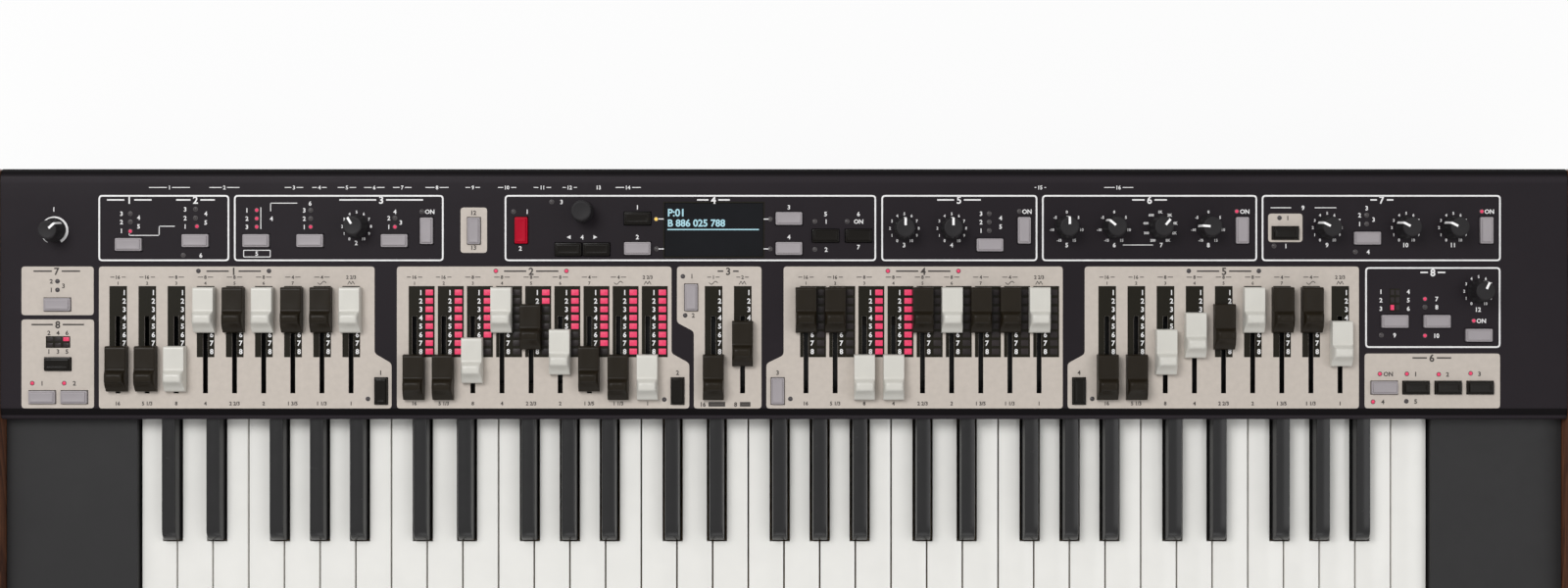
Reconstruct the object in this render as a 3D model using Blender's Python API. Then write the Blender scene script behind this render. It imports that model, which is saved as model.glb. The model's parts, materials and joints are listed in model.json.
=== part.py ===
"""A two-manual combo organ: drawbar panel, two 61-key manuals, steel case and wooden end cheeks.

+X runs to the player's right, +Y away from the player and +Z up. The origin is on the surface
that the organ stands on, under the middle of it. Controls are laid out on the panel in
millimetres: across from its middle, and back from its front edge.
"""

from math import cos, pi, radians, sin

import bpy

MM = 0.001

# Overall sizes
PANEL_WIDTH = 1020 * MM
CHEEK_THICKNESS = 18.5 * MM
PANEL_DEPTH = 163.2 * MM
PANEL_TOP = 158 * MM
GAP = 0.3 * MM  # between pieces that rest on each other

# Sheet metal and feet
PANEL_SHEET = 2 * MM
PANEL_LIP = 5 * MM
PANEL_FLANGE = 12 * MM
PANEL_EDGE = 1.5 * MM
FOOT_HEIGHT = 8 * MM
FOOT_RADIUS = 12 * MM
FOOT_INSET = 40 * MM
TRAY_SHEET = 1.2 * MM

# Manuals
NATURALS = 36
NATURAL_PITCH = 23.5 * MM
KEY_GAP = 1 * MM
KEY_LENGTH = 190 * MM
KEY_VISIBLE = 133 * MM
KEY_PLATE = 6 * MM
KEY_FRONT_HEIGHT = 20 * MM
KEY_FRONT_WALL = 3 * MM
KEY_STICK_WIDTH = 7 * MM
KEY_STICK_HEIGHT = 8 * MM
KEY_BAR = 8 * MM
KEY_DIP = 10 * MM
SHARP_FRONT = 50 * MM  # from the front of the naturals
SHARP_WIDTH = 11 * MM
SHARP_TOP_WIDTH = 9 * MM
SHARP_HEIGHT = 11.5 * MM
SHARP_SIDE_GAP = 1 * MM
SHARP_FRONT_GAP = 1.2 * MM
SHARP_SLOPE = 5 * MM
SHARP_SHIFT = 2.8 * MM
SHARP_STICK_WIDTH = 5 * MM
SHARP_BAR_DROP = 7 * MM  # the sharps' bar passes under the naturals' sticks
SHARP_BAR_SETBACK = 16 * MM
UPPER_DROP = 18 * MM  # panel top to the tops of the upper naturals
MANUAL_RISE = 58 * MM
UPPER_SETBACK = 96.3 * MM  # front of the lower naturals to the front of the upper ones
KEY_TUCK = 3 * MM  # full height of the keys reaches this far under the panel
BED_THICKNESS = 7 * MM
BED_CLEARANCE = 3 * MM

# Cheek blocks and rails beside and under the keys
RAIL_THICKNESS = 8.5 * MM
RAIL_BELOW_KEYS = 4 * MM
BLOCK_ABOVE_KEYS = 6 * MM
SLIP_DROP = 10 * MM
CHEEK_ABOVE_PANEL = 2 * MM
CHEEK_ABOVE_LOWER_KEYS = 14 * MM
CHEEK_BEVEL = 4 * MM

# Drawbars
DRAWBAR_PITCH = 18.95 * MM
DRAWBAR_STEP = 5.46 * MM
DRAWBAR_STEPS = 8
CAP_WIDTH = 13.7 * MM
CAP_LENGTH = 30.3 * MM
CAP_LIFT = 0.8 * MM
CAP_FRONT_OVERHANG = 5.4 * MM
STEM_WIDTH = 2.5 * MM
STEM_LENGTH = 5.6 * MM
SLOT_WIDTH = 3.2 * MM
SLOT_END_GAP = 0.5 * MM
SLOT_FRONT = 17 * MM  # from the panel's front edge
BAR_THICKNESS = 2.4 * MM
BAR_BELOW_SHEET = 2.8 * MM
BAR_LEVEL_DROP = 2.9 * MM
BAR_OVERHANG = 3 * MM

# Cap seen from the side: distance forward of its rear end, height above the panel
CAP_PROFILE = (
    (0, 0.8), (0, 5.6), (2.2, 8), (16.6, 8.6), (18.8, 12.6), (25.6, 13.2), (30.3, 6.4), (30.3, 0.8),
)

# Each set: distance of its first slot from the middle in mm, and its runs of joined drawbars
# as (name, numbers, position at rest, level of the bar that joins them)
DRAWBAR_SETS = {
    "upper_a": (-433.2, (("low", (1, 2, 3), 7, 0), ("high", (4, 5, 6, 7, 8, 9), 0, 0))),
    "upper_b": (-240.3, (
        ("outer", (1, 2, 8, 9), 8, 1), ("3", (3,), 6, 0), ("4", (4,), 0, 0),
        ("5", (5,), 2, 0), ("6", (6,), 5, 0), ("7", (7,), 7, 0))),
    "pedal": (-45.9, (("1", (1,), 8, 0), ("2", (2,), 4, 0))),
    "lower_a": (14.3, (("middle", (3, 4), 8, 0), ("outer", (1, 2, 5, 6, 7, 8, 9), 0, 1))),
    "lower_b": (210.1, (
        ("low", (1, 2), 8, 0), ("3", (3,), 5, 0), ("4", (4,), 3, 0), ("5", (5,), 2, 0),
        ("high", (6, 7, 8), 0, 0), ("9", (9,), 4, 0))),
}

# Knobs
KNOB_RADIUS = 7.7 * MM
KNOB_TOP_RADIUS = 6.2 * MM
KNOB_HEIGHT = 16 * MM  # above the panel
KNOB_LIFT = 0.8 * MM
DIAL_RADIUS = 7.2 * MM
DIAL_TOP_RADIUS = 6.6 * MM
KNOB_SIDES = 12
SHAFT_RADIUS = 3 * MM
SHAFT_GAP = 0.6 * MM
POT_HALF = 6 * MM
POT_BELOW_SHEET = 8.3 * MM
KNOBS = {
    "master_level": (-474.6, 123.0), "drive": (-278.0, 125.6), "rate": (78.3, 124.4),
    "mod_amount": (109.1, 124.4), "bass": (184.0, 125.1), "gain": (214.8, 125.1),
    "freq": (244.9, 125.1), "treble": (276.1, 125.1), "tempo": (353.3, 124.8),
    "feedback": (404.7, 124.8), "delay_amount": (435.4, 124.8), "reverb_amount": (451.8, 83.5),
}
DIAL_SPOT = (-130.7, 135.2)

# Buttons: (across, back from the front edge, True if it stands upright on the panel)
BUTTON_LONG = 17.2 * MM
BUTTON_SHORT = 8.3 * MM
BUTTON_HEIGHT = 3 * MM
BUTTON_GAP = 0.4 * MM
MAT_THICKNESS = 1.4 * MM
MAT_BELOW_SHEET = 6 * MM
DEEP_MAT_BELOW_SHEET = 13.4 * MM  # passes under the drawbars' bars
BUTTON_GROUPS = {
    "buttons_left": {
        "spots": ((-472.6, 74.8, False), (-472.3, 36.0, False), (-482.4, 14.5, False), (-461.6, 14.5, False)),
        "strips": ((-475, -470, 12, 76), (-484, -460, 12, 17)),
        "depth": MAT_BELOW_SHEET,
    },
    "buttons_model": {
        "spots": ((-426.2, 113.8, False), (-382.8, 116.3, False), (-343.3, 116.3, False),
                  (-308.2, 116.3, False), (-253.4, 116.3, False), (-232.4, 122.7, True),
                  (-201.7, 122.7, True)),
        "strips": ((-430, -199, 113, 116.5),),
        "depth": MAT_BELOW_SHEET,
    },
    "buttons_program": {
        "spots": ((-170.9, 123.0, True), (-95.3, 130.7, False), (-95.3, 111.2, False),
                  (-140.3, 110.6, False), (-122.0, 110.6, False), (3.2, 130.7, False),
                  (3.2, 111.2, False), (27.0, 119.5, False), (48.5, 119.5, False)),
        "strips": ((-173, 51, 93, 98), (-173, -169, 93, 120), (-98, -92, 93, 131),
                   (-142, -138, 93, 112), (-124, -120, 93, 112), (0, 6, 93, 131),
                   (25, 29, 93, 120), (46, 51, 93, 120)),
        "depth": MAT_BELOW_SHEET,
    },
    "buttons_effects": {
        "spots": ((133.9, 113.5, False), (156.2, 123.0, True), (298.0, 123.0, True),
                  (326.1, 121.3, False), (379.3, 117.9, False), (456.8, 123.0, True),
                  (397.2, 63.8, False), (424.6, 63.8, False), (451.8, 54.8, False),
                  (390.4, 20.7, False), (411.1, 20.7, False), (432.0, 20.7, False),
                  (452.8, 20.7, False)),
        "strips": ((130, 460, 114, 118), (408, 414, 19, 118), (387, 456, 19, 23), (394, 455, 57, 61.5)),
        "depth": MAT_BELOW_SHEET,
    },
    "buttons_select": {
        "spots": ((-262.0, 18.5, True), (-69.2, 18.5, True), (-60.4, 79.4, True), (-4.1, 18.5, True),
                  (191.9, 18.5, True)),
        "strips": ((-264, 194, 16, 20), (-62.5, -58.5, 16, 80)),
        "depth": DEEP_MAT_BELOW_SHEET,
    },
}

# Display window, mm: left, right, front, rear
DISPLAY = (-77.8, -13.4, 105.8, 140.9)
DISPLAY_GAP = 0.35 * MM
DISPLAY_RECESS = 0.4 * MM
DISPLAY_BEZEL = 2 * MM

# Circuit boards
BOARD_THICKNESS = 1.6 * MM
BOARD_BELOW_SHEET = 18 * MM  # panel sheet's underside to the control board's underside
BOARD_SIDE_GAP = 12 * MM
BOARD_FRONT = 5 * MM  # back from the panel's front edge
BOARD_REAR_GAP = 12 * MM
POST_HALF = 2.5 * MM
POSTS = ((-492, 152), (-330, 152), (-40, 152), (330, 152), (492, 152), (-492, 90), (100, 90), (492, 90))
TRACK_BELOW_SHEET = 8.6 * MM
TRACK_FRONT = 25 * MM
TRACK_REAR = 70 * MM
MAIN_BOARD_SIZE = (270 * MM, 120 * MM)
MAIN_BOARD_CENTRE = (-110 * MM, 95 * MM)
SUPPLY_SIZE = (90 * MM, 100 * MM, 34 * MM)
SUPPLY_CENTRE = (110 * MM, 100 * MM)
STANDOFF = 6 * MM
EAR_HALF = (8 * MM, 10 * MM)
CORNER_MARGIN = 8 * MM
CHIPS = ((-80, 20, 14), (-30, -15, 10), (30, 20, 12), (90, -20, 9))  # across, back, half size in mm
CHIP_HEIGHT = 2.5 * MM

# Rear sockets: distances across in mm
SOCKET_HEIGHT = 60 * MM
JACKS = (-364.0, -318.8, -302.2, -284.3, -266.5, -248.3, -225.7, -157.1, -139.3, -101.4)
ROUND_SOCKETS = (-202.4, -180.1)
SQUARE_SOCKET = -120.5
SPEAKER_SOCKET = -399.7
MAINS_INLET = 166.7
POWER_SWITCH = 217.7
SOCKET_SIDES = 8
JACK_BORE = 3.25 * MM
JACK_NOSE = 4.6 * MM
JACK_NUT = 6.2 * MM
JACK_HALF = 6.8 * MM
JACK_DEPTH = 24 * MM
ROUND_BORE = 6.9 * MM
ROUND_NOSE = 8.4 * MM
ROUND_HALF = 9.2 * MM
ROUND_DEPTH = 11 * MM
SQUARE_BORE = (4.3 * MM, 3.9 * MM)
SQUARE_NOSE = (5.6 * MM, 5.2 * MM)
SPEAKER_BORE = 11.5 * MM
SPEAKER_NOSE = 14 * MM
SPEAKER_HALF = 15 * MM
SPEAKER_DEPTH = 12 * MM
NOSE_GAP = 0.4 * MM
SOCKET_BODY = 24 * MM
SOCKET_BOARD_DROP = 18 * MM
OUTSIDE_DEPTH = 1.7 * MM
INLET_BORE = (12.2 * MM, 8.2 * MM)
INLET_NECK = (14 * MM, 10 * MM)
INLET_FLANGE = (25 * MM, 13.5 * MM)
INLET_DEPTH = 16 * MM
BLADE_SPACING = 7 * MM
BLADE_HALF = (1 * MM, 2 * MM)
BLADE_LENGTH = 11.5 * MM
SWITCH_BORE = (8 * MM, 12.4 * MM)
SWITCH_NECK = (9.4 * MM, 14 * MM)
SWITCH_FLANGE = (11 * MM, 15.6 * MM)
SWITCH_DEPTH = 12 * MM
ROCKER_HALF = (7.5 * MM, 11.2 * MM)
ROCKER_TILT = radians(8)

# Places worked out from the sizes
DEPTH = PANEL_DEPTH - KEY_TUCK + KEY_VISIBLE + UPPER_SETBACK + KEY_GAP + RAIL_THICKNESS
HALF_WIDTH = PANEL_WIDTH / 2 - GAP
FRONT = -DEPTH / 2
REAR = DEPTH / 2
PANEL_FRONT = REAR - PANEL_DEPTH
SHEET_UNDER = PANEL_TOP - PANEL_SHEET
WALL_OUTSIDE = REAR - PANEL_SHEET - GAP
WALL_INSIDE = WALL_OUTSIDE - TRAY_SHEET
FLOOR = FOOT_HEIGHT + TRAY_SHEET
UPPER_TOP = PANEL_TOP - UPPER_DROP
LOWER_TOP = UPPER_TOP - MANUAL_RISE
LOWER_FRONT = FRONT + RAIL_THICKNESS + KEY_GAP
UPPER_FRONT = LOWER_FRONT + UPPER_SETBACK
KEYS_HALF = NATURALS * NATURAL_PITCH / 2
SLOT_LENGTH = DRAWBAR_STEPS * DRAWBAR_STEP + STEM_LENGTH + 2 * SLOT_END_GAP
BOARD_UNDER = SHEET_UNDER - BOARD_BELOW_SHEET
BOARD_TOP = BOARD_UNDER + BOARD_THICKNESS


def clear_scene():
    for old in list(bpy.data.objects):
        bpy.data.objects.remove(old, do_unlink=True)


def material(name, color, roughness, metallic=0.0):
    made = bpy.data.materials.new(name)
    made.use_nodes = True
    shader = made.node_tree.nodes["Principled BSDF"]
    shader.inputs["Base Color"].default_value = (*color, 1)
    shader.inputs["Roughness"].default_value = roughness
    shader.inputs["Metallic"].default_value = metallic
    return made


def box(low, high):
    """A box between two corners, as points and outward faces."""
    points = [(x, y, z) for x in (low[0], high[0]) for y in (low[1], high[1]) for z in (low[2], high[2])]
    faces = [(0, 1, 3, 2), (4, 6, 7, 5), (0, 4, 5, 1), (2, 3, 7, 6), (0, 2, 6, 4), (1, 5, 7, 3)]
    return points, faces


def prism(outline, axis, start, end):
    """An outline carried along an axis: X carries (y, z) points, Y carries (z, x) and Z carries (x, y)."""
    area = sum(a[0] * b[1] - b[0] * a[1] for a, b in zip(outline, outline[1:] + outline[:1]))
    if area < 0:
        outline = outline[::-1]
    count = len(outline)
    points = []
    for along in (start, end):
        for u, v in outline:
            points.append({"X": (along, u, v), "Y": (v, along, u), "Z": (u, v, along)}[axis])
    faces = [tuple(range(count))[::-1], tuple(range(count, 2 * count))]
    for i in range(count):
        j = (i + 1) % count
        faces.append((i, j, count + j, count + i))
    return points, faces


def turned(rings, sides, centre, axis="Z"):
    """Rings of (radius, distance along the axis) joined into a closed round body."""
    points = []
    for radius, along in rings:
        for i in range(sides):
            angle = 2 * pi * (i + 0.5) / sides
            u, v = radius * cos(angle), radius * sin(angle)
            offset = {"Z": (u, v, along), "Y": (v, along, u)}[axis]
            points.append(tuple(c + o for c, o in zip(centre, offset)))
    last = (len(rings) - 1) * sides
    faces = [tuple(range(sides))[::-1], tuple(range(last, last + sides))]
    for ring in range(len(rings) - 1):
        for i in range(sides):
            a, b = ring * sides + i, ring * sides + (i + 1) % sides
            faces.append((a, b, b + sides, a + sides))
    return points, faces


def mesh_of(name, shapes, origin):
    points, faces = [], []
    for shape_points, shape_faces in shapes:
        start = len(points)
        points += [tuple(p - o for p, o in zip(point, origin)) for point in shape_points]
        faces += [tuple(start + i for i in face) for face in shape_faces]
    mesh = bpy.data.meshes.new(name)
    mesh.from_pydata(points, [], faces)
    return mesh


def add_object(name, shapes, origin):
    thing = bpy.data.objects.new(name, mesh_of(name, shapes, origin))
    thing.location = origin
    bpy.context.collection.objects.link(thing)
    return thing


def boolean(thing, shapes, operation, number):
    """Joins or cuts shapes that don't touch each other with one hidden helper."""
    helper = add_object(f"{thing.name}_{operation.lower()}_{number}", shapes, (0, 0, 0))
    helper.hide_render = True
    helper.display_type = "WIRE"
    step = thing.modifiers.new(operation.title(), "BOOLEAN")
    step.operation = operation
    step.solver = "EXACT"
    step.use_self = True
    step.object = helper


def piece(name, shapes, finish, joined=(), cut=(), origin=(0, 0, 0)):
    """One named body: base shapes, groups of shapes joined to them, and groups cut out of them."""
    thing = add_object(name, shapes, origin)
    thing.data.materials.append(finish)
    for number, group in enumerate(joined):
        boolean(thing, group, "UNION", number)
    for number, group in enumerate(cut):
        boolean(thing, group, "DIFFERENCE", number)
    return thing


def on_panel(across, back):
    """A place on the panel in metres, from millimetres across and back from its front edge."""
    return across * MM, PANEL_FRONT + back * MM


def slot_places():
    for first, runs in DRAWBAR_SETS.values():
        for run in runs:
            for number in run[1]:
                yield first * MM + (number - 1) * DRAWBAR_PITCH


def button_half(upright):
    long, short = BUTTON_LONG / 2, BUTTON_SHORT / 2
    return (short, long) if upright else (long, short)


def control_panel(finish):
    outline = [
        (PANEL_FRONT, PANEL_TOP - PANEL_LIP), (PANEL_FRONT + PANEL_SHEET, PANEL_TOP - PANEL_LIP),
        (PANEL_FRONT + PANEL_SHEET, SHEET_UNDER), (REAR - PANEL_SHEET, SHEET_UNDER),
        (REAR - PANEL_SHEET, PANEL_TOP - PANEL_FLANGE), (REAR, PANEL_TOP - PANEL_FLANGE),
        (REAR, PANEL_TOP - PANEL_EDGE), (REAR - PANEL_EDGE, PANEL_TOP),
        (PANEL_FRONT + PANEL_EDGE, PANEL_TOP), (PANEL_FRONT, PANEL_TOP - PANEL_EDGE),
    ]
    below, above = SHEET_UNDER - PANEL_SHEET, PANEL_TOP + PANEL_SHEET
    slots = []
    for x in slot_places():
        y = PANEL_FRONT + SLOT_FRONT
        slots.append(box((x - SLOT_WIDTH / 2, y, below), (x + SLOT_WIDTH / 2, y + SLOT_LENGTH, above)))
    holes = []
    for group in BUTTON_GROUPS.values():
        for across, back, upright in group["spots"]:
            x, y = on_panel(across, back)
            half = [size + BUTTON_GAP for size in button_half(upright)]
            holes.append(box((x - half[0], y - half[1], below), (x + half[0], y + half[1], above)))
    shafts = []
    for spot in (*KNOBS.values(), DIAL_SPOT):
        x, y = on_panel(*spot)
        radius = SHAFT_RADIUS + SHAFT_GAP
        shafts.append(turned([(radius, below), (radius, above)], KNOB_SIDES, (x, y, 0)))
    left, front = on_panel(DISPLAY[0], DISPLAY[2])
    right, rear = on_panel(DISPLAY[1], DISPLAY[3])
    window = box((left, front, below), (right, rear, above))
    body = prism(outline, "X", -HALF_WIDTH, HALF_WIDTH)
    piece("control_panel", [body], finish, cut=[slots, holes, shafts + [window]])


def stem_front(position):
    """Back from the panel's front edge to the front face of a stem at a drawbar position."""
    return SLOT_FRONT + SLOT_END_GAP + (DRAWBAR_STEPS - position) * DRAWBAR_STEP


def drawbar_run(name, first, numbers, position, level, finish):
    """A run of drawbars that rest at one position, joined by a bar under the panel."""
    front = PANEL_FRONT + stem_front(position)
    rear = front + STEM_LENGTH
    top = SHEET_UNDER - BAR_BELOW_SHEET - level * BAR_LEVEL_DROP
    places = [first + (number - 1) * DRAWBAR_PITCH for number in numbers]
    bar = box((places[0] - BAR_OVERHANG, front, top - BAR_THICKNESS), (places[-1] + BAR_OVERHANG, rear, top))
    cap_rear = front - CAP_FRONT_OVERHANG + CAP_LENGTH
    profile = [(cap_rear - forward * MM, PANEL_TOP + height * MM) for forward, height in CAP_PROFILE]
    stems, caps = [], []
    for x in places:
        half = STEM_WIDTH / 2
        low = (x - half, front, top - BAR_THICKNESS / 2)
        stems.append(box(low, (x + half, rear, PANEL_TOP + 2 * CAP_LIFT)))
        caps.append(prism(profile, "X", x - CAP_WIDTH / 2, x + CAP_WIDTH / 2))
    piece(name, [bar], finish, joined=[stems, caps], origin=(places[0], front, PANEL_TOP))


def drawbars(finish):
    for set_name, (first, runs) in DRAWBAR_SETS.items():
        for run_name, numbers, position, level in runs:
            drawbar_run(f"drawbars_{set_name}_{run_name}", first * MM, numbers, position, level, finish)


def knob(name, spot, radius, top_radius, finish):
    x, y = on_panel(*spot)
    top = PANEL_TOP + KNOB_HEIGHT
    under = PANEL_TOP + KNOB_LIFT
    shaft_end = SHEET_UNDER - POT_BELOW_SHEET + GAP
    rings = [
        (SHAFT_RADIUS, shaft_end), (SHAFT_RADIUS, under), (radius, under),
        (top_radius, top - KNOB_LIFT), (top_radius - KNOB_LIFT, top),
    ]
    piece(name, [turned(rings, KNOB_SIDES, (x, y, 0))], finish, origin=(x, y, PANEL_TOP))


def knobs(finish):
    for name, spot in KNOBS.items():
        knob(f"knob_{name}", spot, KNOB_RADIUS, KNOB_TOP_RADIUS, finish)
    knob("program_dial", DIAL_SPOT, DIAL_RADIUS, DIAL_TOP_RADIUS, finish)


def button_group(name, spots, strips, depth, finish):
    """Buttons on one rubber mat under the panel."""
    top = SHEET_UNDER - depth
    mats = []
    for left, right, front, rear in strips:
        (x0, y0), (x1, y1) = on_panel(left, front), on_panel(right, rear)
        mats.append(box((x0, y0, top - MAT_THICKNESS), (x1, y1, top)))
    caps = []
    for across, back, upright in spots:
        x, y = on_panel(across, back)
        half = button_half(upright)
        low = (x - half[0], y - half[1], top - MAT_THICKNESS / 2)
        caps.append(box(low, (x + half[0], y + half[1], PANEL_TOP + BUTTON_HEIGHT)))
    x, y = on_panel(*spots[0][:2])
    piece(name, mats[:1], finish, joined=[[mat] for mat in mats[1:]] + [caps], origin=(x, y, PANEL_TOP))


def buttons(finish):
    for name, group in BUTTON_GROUPS.items():
        button_group(name, group["spots"], group["strips"], group["depth"], finish)


def sharp_places():
    """Middle of each sharp, as (index of the natural on its left, x)."""
    shifts = {0: -SHARP_SHIFT, 1: SHARP_SHIFT, 3: -SHARP_SHIFT, 4: 0, 5: SHARP_SHIFT}
    places = {}
    for i in range(NATURALS - 1):
        if i % 7 in shifts:
            places[i] = -KEYS_HALF + (i + 1) * NATURAL_PITCH + shifts[i % 7]
    return places


def natural_edges(i, sharps):
    """Left and right of a natural's full width, then of its narrow part between the sharps."""
    left = -KEYS_HALF + i * NATURAL_PITCH + KEY_GAP / 2
    right = left + NATURAL_PITCH - KEY_GAP
    half = SHARP_WIDTH / 2 + SHARP_SIDE_GAP
    inner_left = sharps[i - 1] + half if i - 1 in sharps else left
    inner_right = sharps[i] - half if i in sharps else right
    return left, right, inner_left, inner_right


def naturals(name, front, top, finish):
    sharps = sharp_places()
    notch = front + SHARP_FRONT - SHARP_FRONT_GAP
    back, rear = front + KEY_VISIBLE, front + KEY_LENGTH
    under = top - KEY_PLATE
    stick_low = under - KEY_STICK_HEIGHT
    joint = 0.3 * MM
    plates, lips, sticks = [], [], []
    for i in range(NATURALS):
        left, right, inner_left, inner_right = natural_edges(i, sharps)
        outline = [(left, front), (right, front)]
        if inner_right < right:
            outline += [(right, notch), (inner_right, notch)]
        outline += [(inner_right, back), (inner_left, back)]
        if inner_left > left:
            outline += [(inner_left, notch), (left, notch)]
        plates.append(prism(outline, "Z", under, top))
        low = (left, front, top - KEY_FRONT_HEIGHT)
        lips.append(box(low, (right, front + KEY_FRONT_WALL, under + joint)))
        x = (inner_left + inner_right) / 2
        half = KEY_STICK_WIDTH / 2
        low = (x - half, front + 2 * KEY_FRONT_WALL, stick_low)
        sticks.append(box(low, (x + half, rear - KEY_BAR / 2, under + joint)))
    bar = box((-KEYS_HALF, rear - KEY_BAR, stick_low), (KEYS_HALF, rear, under))
    origin = (0, rear - KEY_BAR / 2, under)
    piece(name, [bar], finish, joined=[sticks, plates, lips], origin=origin)


def sharps(name, front, top, finish):
    start, back = front + SHARP_FRONT, front + KEY_VISIBLE
    rear = front + KEY_LENGTH - SHARP_BAR_SETBACK
    under = top - KEY_PLATE
    high = top + SHARP_HEIGHT
    bar_low = under - KEY_STICK_HEIGHT - SHARP_BAR_DROP
    bar_top = bar_low + KEY_BAR * 2 / 3
    bodies, sticks = [], []
    for x in sharp_places().values():
        points, faces = box((x - SHARP_WIDTH / 2, start, under), (x + SHARP_WIDTH / 2, back, high))
        inset = (SHARP_WIDTH - SHARP_TOP_WIDTH) / 2
        shaped = []
        for px, py, pz in points:
            if pz == high:
                px += inset if px < x else -inset
                py += SHARP_SLOPE if py == start else 0
            shaped.append((px, py, pz))
        bodies.append((shaped, faces))
        half = SHARP_STICK_WIDTH / 2
        profile = [
            (start + KEY_FRONT_WALL, under + 1 * MM), (start + KEY_FRONT_WALL, under - KEY_STICK_HEIGHT),
            (rear - 2 * KEY_BAR, under - KEY_STICK_HEIGHT), (rear - KEY_BAR, bar_top - 2 * MM),
            (rear - KEY_BAR / 4, bar_top - 2 * MM), (rear - KEY_BAR / 4, under), (back, under),
            (back - KEY_FRONT_WALL, under + 1 * MM),
        ]
        sticks.append(prism(profile, "X", x - half, x + half))
    bar = box((-KEYS_HALF, rear - KEY_BAR, bar_low), (KEYS_HALF, rear, bar_top))
    origin = (0, rear - KEY_BAR / 4, under)
    piece(name, [bar], finish, joined=[sticks, bodies], origin=origin)


def bed_height(top):
    """Top of the board under the keys, for naturals whose tops are at this height."""
    return top - KEY_FRONT_HEIGHT - KEY_DIP - BED_CLEARANCE


def keybed(name, front, top, finish):
    """The board under a manual, with a stepped rail that both hinge bars rest on."""
    bed_top = bed_height(top)
    bed_front = front + RAIL_THICKNESS + 2 * KEY_GAP
    stick_low = top - KEY_PLATE - KEY_STICK_HEIGHT
    rear = front + KEY_LENGTH
    sharp_rail = rear - SHARP_BAR_SETBACK - KEY_BAR / 4
    natural_rail = rear - KEY_BAR / 2
    outline = [
        (bed_front, bed_top - BED_THICKNESS), (rear + KEY_BAR / 4, bed_top - BED_THICKNESS),
        (rear + KEY_BAR / 4, stick_low - GAP), (natural_rail, stick_low - GAP),
        (natural_rail, stick_low - SHARP_BAR_DROP - GAP), (sharp_rail, stick_low - SHARP_BAR_DROP - GAP),
        (sharp_rail, bed_top), (bed_front, bed_top),
    ]
    piece(name, [prism(outline, "X", -HALF_WIDTH, HALF_WIDTH)], finish)


def surround(name, rail, block_front, block_low, rear, top, finish):
    """A rail (front, rear, low, high) across the front of a manual, and a block at each end of the keys."""
    rail_front, rail_rear, rail_low, rail_high = rail
    bed_top = bed_height(top)
    outline = [
        (block_front, block_low), (rail_rear, block_low), (rail_rear, bed_top + GAP), (rear, bed_top + GAP),
        (rear, top + BLOCK_ABOVE_KEYS), (block_front, top + BLOCK_ABOVE_KEYS),
    ]
    inner = KEYS_HALF + KEY_GAP
    blocks = [prism(outline, "X", inner, HALF_WIDTH), prism(outline, "X", -HALF_WIDTH, -inner)]
    bar = box((-HALF_WIDTH, rail_front, rail_low), (HALF_WIDTH, rail_rear, rail_high))
    piece(name, [bar], finish, joined=[blocks])


def surrounds(finish):
    slip_top = bed_height(UPPER_TOP) - GAP
    slip = (UPPER_FRONT + KEY_GAP, UPPER_FRONT + RAIL_THICKNESS, slip_top - SLIP_DROP, slip_top)
    low = LOWER_TOP + BLOCK_ABOVE_KEYS + GAP
    surround("upper_surround", slip, UPPER_FRONT, low, PANEL_FRONT - GAP, UPPER_TOP, finish)
    rail_top = LOWER_TOP - KEY_FRONT_HEIGHT - RAIL_BELOW_KEYS
    rail = (FRONT, FRONT + RAIL_THICKNESS, FOOT_HEIGHT, rail_top)
    surround("lower_surround", rail, FRONT, FOOT_HEIGHT, UPPER_FRONT + RAIL_THICKNESS, LOWER_TOP, finish)


def cheek(name, side, finish):
    low_top = LOWER_TOP + CHEEK_ABOVE_LOWER_KEYS
    high_top = PANEL_TOP + CHEEK_ABOVE_PANEL
    outline = [
        (FRONT, FOOT_HEIGHT), (REAR, FOOT_HEIGHT), (REAR, high_top - CHEEK_BEVEL),
        (REAR - CHEEK_BEVEL, high_top), (UPPER_FRONT + 4 * CHEEK_BEVEL, high_top),
        (UPPER_FRONT, high_top - 2 * CHEEK_BEVEL), (UPPER_FRONT - 8 * CHEEK_BEVEL, low_top + CHEEK_BEVEL),
        (UPPER_FRONT - 12 * CHEEK_BEVEL, low_top), (FRONT + CHEEK_BEVEL, low_top - CHEEK_BEVEL / 2),
        (FRONT, low_top - 2 * CHEEK_BEVEL),
    ]
    inner = side * PANEL_WIDTH / 2
    outer = inner + side * CHEEK_THICKNESS
    piece(name, [prism(outline, "X", min(inner, outer), max(inner, outer))], finish)


def wall_box(across, half):
    """Makes boxes about a socket's middle, with its half width and half height, from y to y."""
    x = across * MM

    def between(start, end):
        low = (x - half[0], start, SOCKET_HEIGHT - half[1])
        return box(low, (x + half[0], end, SOCKET_HEIGHT + half[1]))

    return between


def wall_round(across, radius, start, end, sides=SOCKET_SIDES):
    return turned([(radius, start), (radius, end)], sides, (across * MM, 0, SOCKET_HEIGHT), "Y")


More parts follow.
